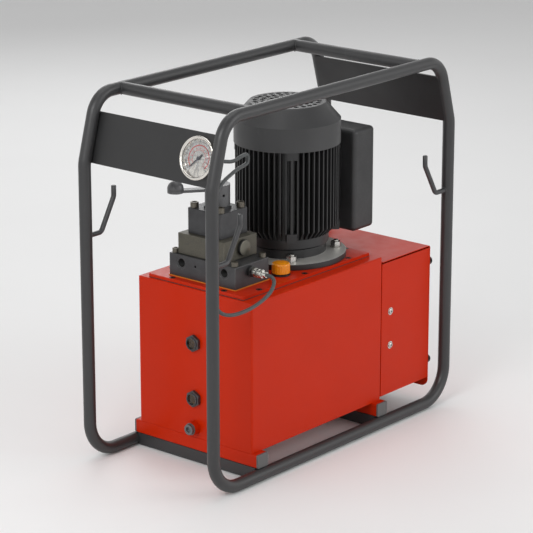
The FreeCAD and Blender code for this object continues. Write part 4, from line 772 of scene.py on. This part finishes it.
def build_gauge():
    """The turned case, the printed dial and the domed glass."""
    face = gauge_face()
    low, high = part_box("gauge_case")
    rim = (high.y - low.y) / 2 / MM
    bezel = [(rim - 7.0, -9.9), (rim - 7.0, -3.1), (rim - 6.3, -1.7), (rim - 5.1, -0.7),
             (rim - 3.6, -0.15), (rim - 2.2, -0.25), (rim - 1.0, -0.9), (rim - 0.2, -2.1),
             (rim, -3.6), (rim, -6.4), (rim - 0.6, -7.0), (rim - 3.5, -7.0), (rim - 3.5, -31.0),
             (rim - 4.6, -33.2), (rim - 8.5, -35.6), (9.0, -36.0), (9.0, -36.4), (8.0, -37.2),
             (8.0, -51.4), (7.2, -GAUGE_STEM), (0.1, -GAUGE_STEM)]
    bm = bmesh.new()
    spun(bm, bezel, face, 128)
    piece("gauge_case_turned", bm, "gauge_steel", ("gauge_case",), sharp=40)

    dial = bmesh.new()
    disc = [(rim - 7.2, -11.2), (rim - 7.2, -10.05), (rim - 7.4, -9.9), (2.2, -9.9), (2.2, -11.2)]
    spun(dial, disc, face, 96)
    for inner, outer, ink in ARCS:
        flat_ring(dial, face, inner, outer, SWEEP_START, SWEEP, ink)
    for n in range(101):
        angle = SWEEP_START - SWEEP * n / 100
        is_long = n % 10 == 0
        half = math.radians(0.42 if is_long else 0.22)
        inner = LONG_MARK if is_long else HALF_MARK if n % 5 == 0 else SHORT_MARK
        flat_ring(dial, face, inner, MARK_END, angle + half, 2 * half, BLACK_PRINT, 1)
        if n % 2 == 0:
            inner = RED_LONG_MARK if is_long else RED_SHORT_MARK
            flat_ring(dial, face, inner, RED_MARK_END, angle + half * 1.4, 2.8 * half, RED_PRINT, 1)
    for n in range(11):
        dial_number(dial, face, str(n * 100), 20.2, SWEEP_START - SWEEP * n / 10, 3.5, RED_PRINT)
    for n in range(8):
        dial_number(dial, face, str(n * 2), 29.2, SWEEP_START - SWEEP * n / 7.25, 3.0, BLACK_PRINT)
    for height, ink in ((-8.0, RED_PRINT), (-22.0, BLACK_PRINT)):
        dot = face @ Matrix.Translation(Vector((0, height, 0)) * MM)
        flat_ring(dial, dot, 0.0, 0.7, 0.0, 6.28, ink, 12)
    piece("gauge_dial_print", dial, "gauge_dial", ("gauge_dial",),
          [PAINTS["gauge_dial"], RED_INK, BLACK_INK])

    glass = bmesh.new()
    dome = [(rim - 7.2, -4.9), (rim - 7.2, -3.6), (rim - 9, -3.35), (20.0, -3.25), (0.1, -3.22)]
    spun(glass, dome, face, 96)
    piece("gauge_glass_domed", glass, "gauge_glass", ("gauge_glass",))


# ---------------------------------------------------------------- tank trim

SIGHT_SEAT = 12 * MM


def sight_glasses():
    """Hexagonal bodies with a collar, and lenses over a dark reflector."""
    metal = bmesh.new()
    lens = bmesh.new()
    for low, high in solid_boxes("sight_glass_bodies"):
        at = Vector((low.x + SIGHT_SEAT, (low.y + high.y) / 2, (low.z + high.z) / 2))
        matrix = facing(FRONT, at)
        hex_head(metal, 33.0, 8.8, matrix, bore=12.6, sides=96)
        collar = [(11.6, 3.0), (11.6, 11.4), (12.0, 11.9), (13.9, 11.9), (14.5, 11.3), (14.5, 8.6),
                  (12.6, 8.4), (12.6, 3.0), (11.6, 3.0)]
        spun(metal, collar, matrix, 72, caps=False)
        spun(metal, [(11.6, 3.2), (0.1, 3.2)], matrix, 48, slot=1, caps=False)
        spun(metal, [(5.4, 3.5), (5.4, 4.2), (4.8, 4.6), (0.1, 4.6)], matrix, 36, slot=0, caps=False)
        spun(lens, [(11.45, 6.0), (11.45, 8.6), (10.9, 9.1), (7.0, 9.5), (0.1, 9.7)], matrix, 64)
    piece("sight_glass_rings", metal, "sight_glass_metal", ("sight_glass_bodies",),
          [PAINTS["sight_glass_metal"], PAINTS["relief_steel"]])
    piece("sight_glass_lenses", lens, "sight_glass_lens", ("sight_lenses",))


SIDE_SCREW_HEAD = 3.6
SIDE_SCREW_SOCKET = 4.0


def cover_screws():
    """Knurled slotted thumb screws at the rear and socket pan heads on the sides, whose sockets are painted
    dark for the shade inside them.
    """
    bm = bmesh.new()
    cover_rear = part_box("rear_cover")[1].x
    for low, high in solid_boxes("cover_screws"):
        middle = (low + high) / 2
        if high.x < cover_rear:
            side = 1 if middle.y > 0 else -1
            at = Vector((middle.x, high.y if side > 0 else low.y, middle.z))
            at -= Vector((0, side * SIDE_SCREW_HEAD * MM, 0))
            matrix = facing((0, side, 0), at)
            head = [(3.0, -3.0), (3.0, 0.0), (5.9, 0.0), (6.4, 0.6), (5.9, 2.3), (4.4, 3.5),
                    (2.2, SIDE_SCREW_HEAD)]
            spun(bm, head, matrix, 48, caps=False, shape=hexagonal(SIDE_SCREW_SOCKET, (6,)))
            # The socket walls take the dark steel, which paints the shade inside the socket.
            spun(bm, [(2.2, SIDE_SCREW_HEAD), (2.2, 1.4), (0.05, 1.4)], matrix, 48, slot=1, caps=False,
                 shape=hexagonal(SIDE_SCREW_SOCKET, (0, 1)))
            spun(bm, [(3.2, -0.05), (8.6, -0.05), (8.6, 0.35), (6.0, 0.35)], matrix, 40, caps=False)
        else:
            matrix = facing(REAR, Vector((cover_rear, middle.y, middle.z)))

            def grip(angle, reach, row):
                if row in (3, 4):
                    return knurled(angle, reach, 30, 0.35)
                if row in (7, 8):
                    return max(0.4, min(reach, 0.75 / max(abs(math.sin(angle)), 0.1)))
                return reach

            head = [(3.0, -4.0), (3.0, 0.0), (8.9, 0.0), (9.8, 0.8), (9.8, 8.6), (9.3, 9.3),
                    (7.0, 9.8), (6.2, 10.0), (6.2, 8.6), (0.05, 8.6)]
            spun(bm, head, matrix, 120, slot=1, shape=grip)
    piece("cover_screw_heads", bm, "bright_screws", ("cover_screws",), [PAINTS["bright_screws"], THUMB_STEEL_AND_SOCKET_SHADE])


# ---------------------------------------------------------------- motor

BOLT_FLATS, BOLT_HEAD, BOLT_STANDS = 20.0, 12.0, 15.0
NUT_FLATS, NUT_HEIGHT = 18.0, 9.0


def flange_bolts():
    """Four hexagon bolts with washers, and their nuts under the lid."""
    bm = bmesh.new()
    for low, high in solid_boxes("flange_bolts"):
        x, y = (low.x + high.x) / 2, (low.y + high.y) / 2
        head = facing(UP, Vector((x, y, high.z - BOLT_STANDS * MM)))
        spun(bm, [(6.6, -2.5), (11.6, -2.5), (12.0, -2.1), (12.0, -0.3), (11.7, 0.0), (6.6, 0.0)], head, 48)
        hex_head(bm, BOLT_FLATS, BOLT_HEAD, head)
        spun(bm, [(6.0, 11.9), (6.0, 14.2), (5.2, BOLT_STANDS), (0.05, BOLT_STANDS)], head, 48)
        nut = facing(DOWN, Vector((x, y, low.z + NUT_HEIGHT * MM)))
        hex_head(bm, NUT_FLATS, NUT_HEIGHT, nut)
    piece("flange_bolt_set", bm, "bright_screws", ("flange_bolts",))


LID_SCREW_INSET = 14 * MM


def terminal_lid_screws():
    """Screws that hold the terminal box's lid."""
    bm = bmesh.new()
    low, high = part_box("terminal_box_lid")
    for y in (low.y + LID_SCREW_INSET, high.y - LID_SCREW_INSET):
        for z in (low.z + LID_SCREW_INSET, high.z - LID_SCREW_INSET):
            matrix = facing(REAR, Vector((high.x + 0.4 * MM, y, z)))
            spun(bm, [(4.6, -1.5), (4.4, -0.6), (3.4, -0.4), (1.7, -0.4), (1.7, -1.6), (0.05, -1.6)],
                 matrix, 30)
    piece("terminal_lid_screws", bm, "black_screws")


# ---------------------------------------------------------------- valve stack

def stack_screws():
    """Eight socket-head cap screws with their knurled heads and plain shanks."""
    bm = bmesh.new()
    for low, high in solid_boxes("valve_stack_screws"):
        x, y = (low.x + high.x) / 2, (low.y + high.y) / 2
        head = (high.x - low.x) / 2 / MM
        thread = head / 1.5
        matrix = facing(UP, Vector((x, y, high.z - 2 * thread * MM)))
        socket_head(bm, head, 2 * thread, matrix, 1.6 * thread)
        length = (high.z - low.z) / MM - 2 * thread
        spun(bm, [(thread - 0.6, -length), (thread, -length + 0.8), (thread, 0.2)], matrix, 24)
    piece("stack_screw_set", bm, "stack_screws", ("valve_stack_screws",), sharp=28)


THREAD_PITCH = 1.45
THREAD_DEPTH = 0.7


def port_threads():
    """Cut threads inside the two hose ports, as close rings, in near-black steel that paints the shade inside
    the bores.
    """
    bm = bmesh.new()
    for mount in RECORD["mounts"]:
        if mount["kind"] != "threaded_hole":
            continue
        radius = mount["dims"]["r_mm"]
        half = mount["dims"]["length_mm"] / 2
        mouth = facing(Vector(mount["axis"]), Vector(mount["pos_m"]))
        profile = []
        depth = half - 2.4
        while depth > 3 - half:
            profile += [(radius - 0.05, depth), (radius - 0.75, depth - THREAD_DEPTH),
                        (radius - 0.05, depth - 2 * THREAD_DEPTH)]
            depth -= THREAD_PITCH
        spun(bm, profile, mouth, 48, caps=False)
    piece("port_thread_rings", bm, "manifold_steel", materials=[PORT_PAINTED_SHADE], sharp=20)


PLUG_HEAD = 6.5


def relief_plug():
    """Round screw plug: a black side that paints the shadow round its rim, and a lighter bare face."""
    low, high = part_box("relief_plug")
    matrix = facing(NEAR, Vector(((low.x + high.x) / 2, low.y + PLUG_HEAD * MM, (low.z + high.z) / 2)))
    radius = (high.x - low.x) / 2 / MM
    bm = bmesh.new()
    edge = [(radius - 0.7, -0.2), (radius, 0.5), (radius, 5.4), (radius - 0.9, 6.3)]
    end = [(radius - 0.9, 6.3), (radius - 1.4, PLUG_HEAD), (0.05, PLUG_HEAD)]
    # The black side paints the shadow round the plug's rim.
    spun(bm, edge, matrix, 72, caps=False)
    spun(bm, end, matrix, 72, slot=1, caps=False)
    piece("relief_plug_turned", bm, "relief_steel", ("relief_plug",), [FITTING_BLACK, RELIEF_HIGHLIGHT_AND_PLUG_FACE], sharp=24)


KNOB_SHOULDER = 2.0


def lever_knob():
    """Domed knob with a soft shoulder."""
    low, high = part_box("lever_knob")
    radius = (high.x - low.x) / 2 / MM
    tall = (high.z - low.z) / MM
    matrix = facing(UP, Vector(((low.x + high.x) / 2, (low.y + high.y) / 2, low.z)))
    profile = [(radius - 0.9, 0.0), (radius - 0.2, 0.5), (radius, 1.4)]
    for n in range(1, 17):
        angle = math.pi / 2 * n / 16
        level = KNOB_SHOULDER + (tall - KNOB_SHOULDER) * math.sin(angle)
        profile.append((max(0.05, radius * math.cos(angle)), level))
    bm = bmesh.new()
    spun(bm, profile, matrix, 64)
    piece("lever_knob_domed", bm, "lever_knob", ("lever_knob",), body="valve_handle", sharp=45)


# ---------------------------------------------------------------- filler and test line

def filler_cap():
    """Ribbed breather cap with a crowned top and a fine parting line."""
    low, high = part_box("filler_cap")
    radius = (high.x - low.x) / 2 / MM
    tall = (high.z - low.z) / MM
    matrix = facing(UP, Vector(((low.x + high.x) / 2, (low.y + high.y) / 2, low.z)))

    def ribs(angle, reach, row):
        return reach - 0.7 * (0.5 - 0.5 * math.cos(22 * angle)) ** 3 if 3 <= row <= 4 else reach

    bm = bmesh.new()
    crown = [(14.6, 12.0), (14.6, 0.4), (15.0, 0.0), (radius, 0.9), (radius, tall - 5.4),
             (radius - 0.25, tall - 3.6), (radius - 1.1, tall - 1.9), (radius - 2.7, tall - 0.8),
             (radius - 5.5, tall - 0.35), (radius - 6.0, tall - 0.6), (radius - 6.4, tall - 0.3),
             (5.0, tall - 0.05), (0.05, tall)]
    spun(bm, crown, matrix, 176, shape=ribs, caps=False)
    piece("filler_cap_ribbed", bm, "filler_cap", ("filler_cap",), body="filler_cap_turn", sharp=40)


TEST_HEX_FLATS, TEST_HEX_HEIGHT = 21.9, 7.8
UPPER_HEX_FLATS, UPPER_HEX_HEIGHT = 12.9, 9.0
UPPER_FITTING = 24.0


def test_fitting():
    """Black hexagon, then a bright quick coupling with knurled sleeve, grooves and hose ferrule."""
    low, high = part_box("test_fitting")
    middle_x, middle_z = (low.x + high.x) / 2, (low.z + high.z) / 2
    face_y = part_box("base_manifold")[0].y
    matrix = facing(NEAR, Vector((middle_x, face_y, middle_z)))
    black = bmesh.new()
    hex_head(black, TEST_HEX_FLATS, TEST_HEX_HEIGHT, matrix)
    spun(black, [(7.2, 7.6), (7.2, 10.5)], matrix, 40)

    def grip(angle, reach, row):
        return knurled(angle, reach, 28, 0.3) if row in (3, 4, 9, 10) else reach

    bright = bmesh.new()
    spun(bright, [(7.6, 9.6), (9.1, 9.8), (10.0, 10.6), (10.2, 11.2), (10.2, 16.4), (9.7, 17.0), (8.4, 17.4),
                  (8.4, 19.4), (9.5, 19.9), (10.1, 20.6), (10.1, 26.4), (9.5, 27.2), (8.5, 27.6), (8.5, 29.4),
                  (9.3, 29.8), (9.8, 30.6), (9.8, 34.0), (8.8, 35.0), (5.0, 35.0)], matrix, 112, shape=grip)
    ends = sorted(solid_boxes("hose_end_fittings"), key=lambda pair: pair[0].z)
    lower_low, lower_high = ends[0]
    lower = facing(NEAR, Vector((middle_x, lower_high.y, middle_z)))
    long = (lower_high.y - lower_low.y) / MM
    spun(bright, [(6.9, 0.0), (7.0, 0.6), (7.0, 3.0), (6.3, 3.4), (6.3, 4.4), (6.9, 4.8), (6.6, long - 1.0),
                  (5.8, long), (4.05, long)], lower, 64)
    face = gauge_face()
    upper = face @ Matrix.Translation(Vector((0, 0, -GAUGE_STEM)) * MM) @ Matrix.Rotation(math.pi, 4, "X")
    hex_head(bright, UPPER_HEX_FLATS, UPPER_HEX_HEIGHT, upper)
    spun(bright, [(5.6, 8.8), (6.2, 9.4), (6.2, 13.0), (5.6, 13.5), (5.6, 14.4), (6.1, 14.8), (5.8, 22.6),
                  (5.0, UPPER_FITTING), (4.05, UPPER_FITTING)], upper, 64)
    piece("test_fitting_hexagon", black, "fitting_steel", materials=[FITTING_BLACK])
    piece("test_coupling", bright, "fitting_steel", ("test_fitting", "hose_end_fittings"), sharp=24)


HOSE_START = (-0.186, -0.139, 0.4315)
HOSE_POINTS = [
    (-0.1860, -0.1570, 0.4310), (-0.1950, -0.1680, 0.4200), (-0.2160, -0.1740, 0.4060),
    (-0.2500, -0.1755, 0.3935), (-0.2920, -0.1725, 0.3845), (-0.3370, -0.1670, 0.3840),
    (-0.3680, -0.1625, 0.3990), (-0.3810, -0.1600, 0.4340), (-0.3840, -0.1595, 0.4800),
    (-0.3835, -0.1593, 0.5400), (-0.3800, -0.1570, 0.5980), (-0.3670, -0.1520, 0.6380),
    (-0.3350, -0.1445, 0.6610), (-0.2900, -0.1340, 0.6710), (-0.2560, -0.1250, 0.6745),
    (-0.2375, -0.1205, 0.6745), (-0.2205, -0.1180, 0.6780), (-0.2200, -0.1170, 0.6960),
    (-0.2380, -0.1170, 0.6955), (-0.2620, -0.1170, 0.6885), (-0.2850, -0.1170, 0.6915),
]
HOSE_RADIUS = 0.004


def gauge_hose():
    """The thin test hose, one smooth curve from the test fitting to the back of the gauge."""
    face = gauge_face()
    end = face @ (Vector((0, 0, -GAUGE_STEM - UPPER_FITTING)) * MM)
    points = [Vector(HOSE_START)] + [Vector(point) for point in HOSE_POINTS] + [end]
    curve = bpy.data.curves.new("gauge_hose_line", "CURVE")
    curve.dimensions = "3D"
    curve.bevel_depth = HOSE_RADIUS
    curve.bevel_resolution = 5
    curve.resolution_u = 14
    curve.use_fill_caps = True
    spline = curve.splines.new("NURBS")
    spline.points.add(len(points) - 1)
    for control, point in zip(spline.points, points):
        control.co = (*point, 1.0)
    spline.order_u = 3
    spline.use_endpoint_u = True
    curve.materials.append(PAINTS["hose_rubber"])
    hose = settle(bpy.data.objects.new("gauge_hose_line", curve), ROOT, ("gauge_hose",))


# ---------------------------------------------------------------- camera, light and floor

# The surroundings are bright up to this height of view and dim above the second one.
HORIZON_END = 0.35
OVERHEAD_START = 0.75
HORIZON_LIGHT = 0.95
OVERHEAD_LIGHT = 0.3

# Name, place, size and watts of each light. All of them are turned to the middle of the unit.
LIGHTS = (
    ("key_light", (-3.2, -0.6, 2.6), 1.8, 50.0),
    ("side_light", (1.4, -3.4, 1.9), 2.2, 34.0),
    ("top_light", (0.2, 0.3, 3.4), 2.4, 26.0),
    ("back_light", (2.2, 2.8, 2.2), 1.8, 22.0),
)
UNIT_MIDDLE = Vector((0, 0, 0.4))
FLOOR_SIZE = 15.0
FLOOR_LEVEL = -0.0002
CAMERA_LENS = 169.5
CAMERA_PLACE = (-4.02697, -3.37124, 1.96571)
CAMERA_TILT = math.radians(73.202)
CAMERA_HEADING = math.radians(-49.915)


def studio():
    """Pale floor, white surroundings, soft lights and the camera."""
    scene = bpy.context.scene
    scene.view_settings.view_transform = "Standard"
    world = bpy.data.worlds.new("studio")
    scene.world = world
    world.use_nodes = True
    nodes, links = world.node_tree.nodes, world.node_tree.links
    heading = nodes.new("ShaderNodeTexCoord")
    parts = nodes.new("ShaderNodeSeparateXYZ")
    fade = nodes.new("ShaderNodeMapRange")
    fade.inputs["From Min"].default_value = HORIZON_END
    fade.inputs["From Max"].default_value = OVERHEAD_START
    fade.inputs["To Min"].default_value = HORIZON_LIGHT
    fade.inputs["To Max"].default_value = OVERHEAD_LIGHT
    links.new(heading.outputs["Generated"], parts.inputs["Vector"])
    links.new(parts.outputs["Z"], fade.inputs["Value"])
    links.new(fade.outputs["Result"], nodes["Background"].inputs["Strength"])
    nodes["Background"].inputs["Color"].default_value = (1.0, 1.0, 1.0, 1.0)

    bm = bmesh.new()
    bmesh.ops.create_grid(bm, x_segments=2, y_segments=2, size=FLOOR_SIZE)
    mesh = bpy.data.meshes.new("floor")
    bm.to_mesh(mesh)
    bm.free()
    mesh.transform(Matrix.Translation((0, 0, FLOOR_LEVEL)))
    floor_paint = Surface("floor_paint", (0.86, 0.86, 0.86), 0.75)
    floor_paint.shade(floor_paint.noise(400.0, 2.0), 0.3, 0.6, 0.02)
    mesh.materials.append(floor_paint.material)
    floor = bpy.data.objects.new("floor", mesh)
    scene.collection.objects.link(floor)

    for name, at, size, power in LIGHTS:
        light = bpy.data.lights.new(name, "AREA")
        light.energy = power
        light.size = size
        holder = bpy.data.objects.new(name, light)
        holder.location = at
        holder.rotation_euler = (UNIT_MIDDLE - Vector(at)).to_track_quat("-Z", "Y").to_euler()
        scene.collection.objects.link(holder)

    lens = bpy.data.cameras.new("camera")
    lens.lens = CAMERA_LENS
    lens.sensor_width = 36.0
    lens.clip_end = 60.0
    camera = bpy.data.objects.new("camera", lens)
    camera.location = CAMERA_PLACE
    camera.rotation_euler = (CAMERA_TILT, 0.0, CAMERA_HEADING)
    scene.collection.objects.link(camera)
    scene.camera = camera


FLANGE_REACH = 25 * MM
EDGE_WIDTHS = {
    "front_panel": 0.7, "rear_panel": 0.7, "base_straps": 0.6, "tank_lid": 0.9, "tank_feet": 0.5,
    "foot_end_caps": 0.9, "rear_cover": 0.5, "cover_side_plates": 0.5, "drain_plug": 0.5,
    "terminal_box": 0.8, "terminal_box_lid": 0.8, "cable_gland": 0.6, "valve_lever": 0.9,
    "hose_clips": 0.4, "tank_shell": 0.5, "motor_housing": 0.45,
}


def flange_top(face):
    """The flange's machined upper face."""
    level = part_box("motor_flange_shield")[0].z
    return face.normal.z > 0.9 and face.calc_center_median().z < level + FLANGE_REACH


def build_all():
    """Every detailed piece, then the paints of the CAD nodes that stay."""
    studio()
    gauge_hose()
    hoop("frame_hoop_near")
    hoop("frame_hoop_far")
    cross_tubes()
    hose_hooks()
    build_gauge()
    sight_glasses()
    cover_screws()
    flange_bolts()
    terminal_lid_screws()
    stack_screws()
    port_threads()
    relief_plug()
    lever_knob()
    filler_cap()
    test_fitting()
    for node, width in EDGE_WIDTHS.items():
        softened(node, width)
    softened("motor_flange_shield", 0.9, faces=(FLANGE_FACE, flange_top))
    # The lighter edge materials paint a highlight along the rounded edges of the manifold, valve and relief
    # blocks.
    for node in ("base_manifold", "valve_body"):
        softened(node, 0.35, EDGE_HIGHLIGHT_PAINT)
    softened("relief_block", 0.35, RELIEF_HIGHLIGHT_AND_PLUG_FACE)
    for node, thing in frame["nodes"].items():
        thing.data.materials.clear()
        thing.data.materials.append(PAINTS[SLOT_OF[node]])


build_all()
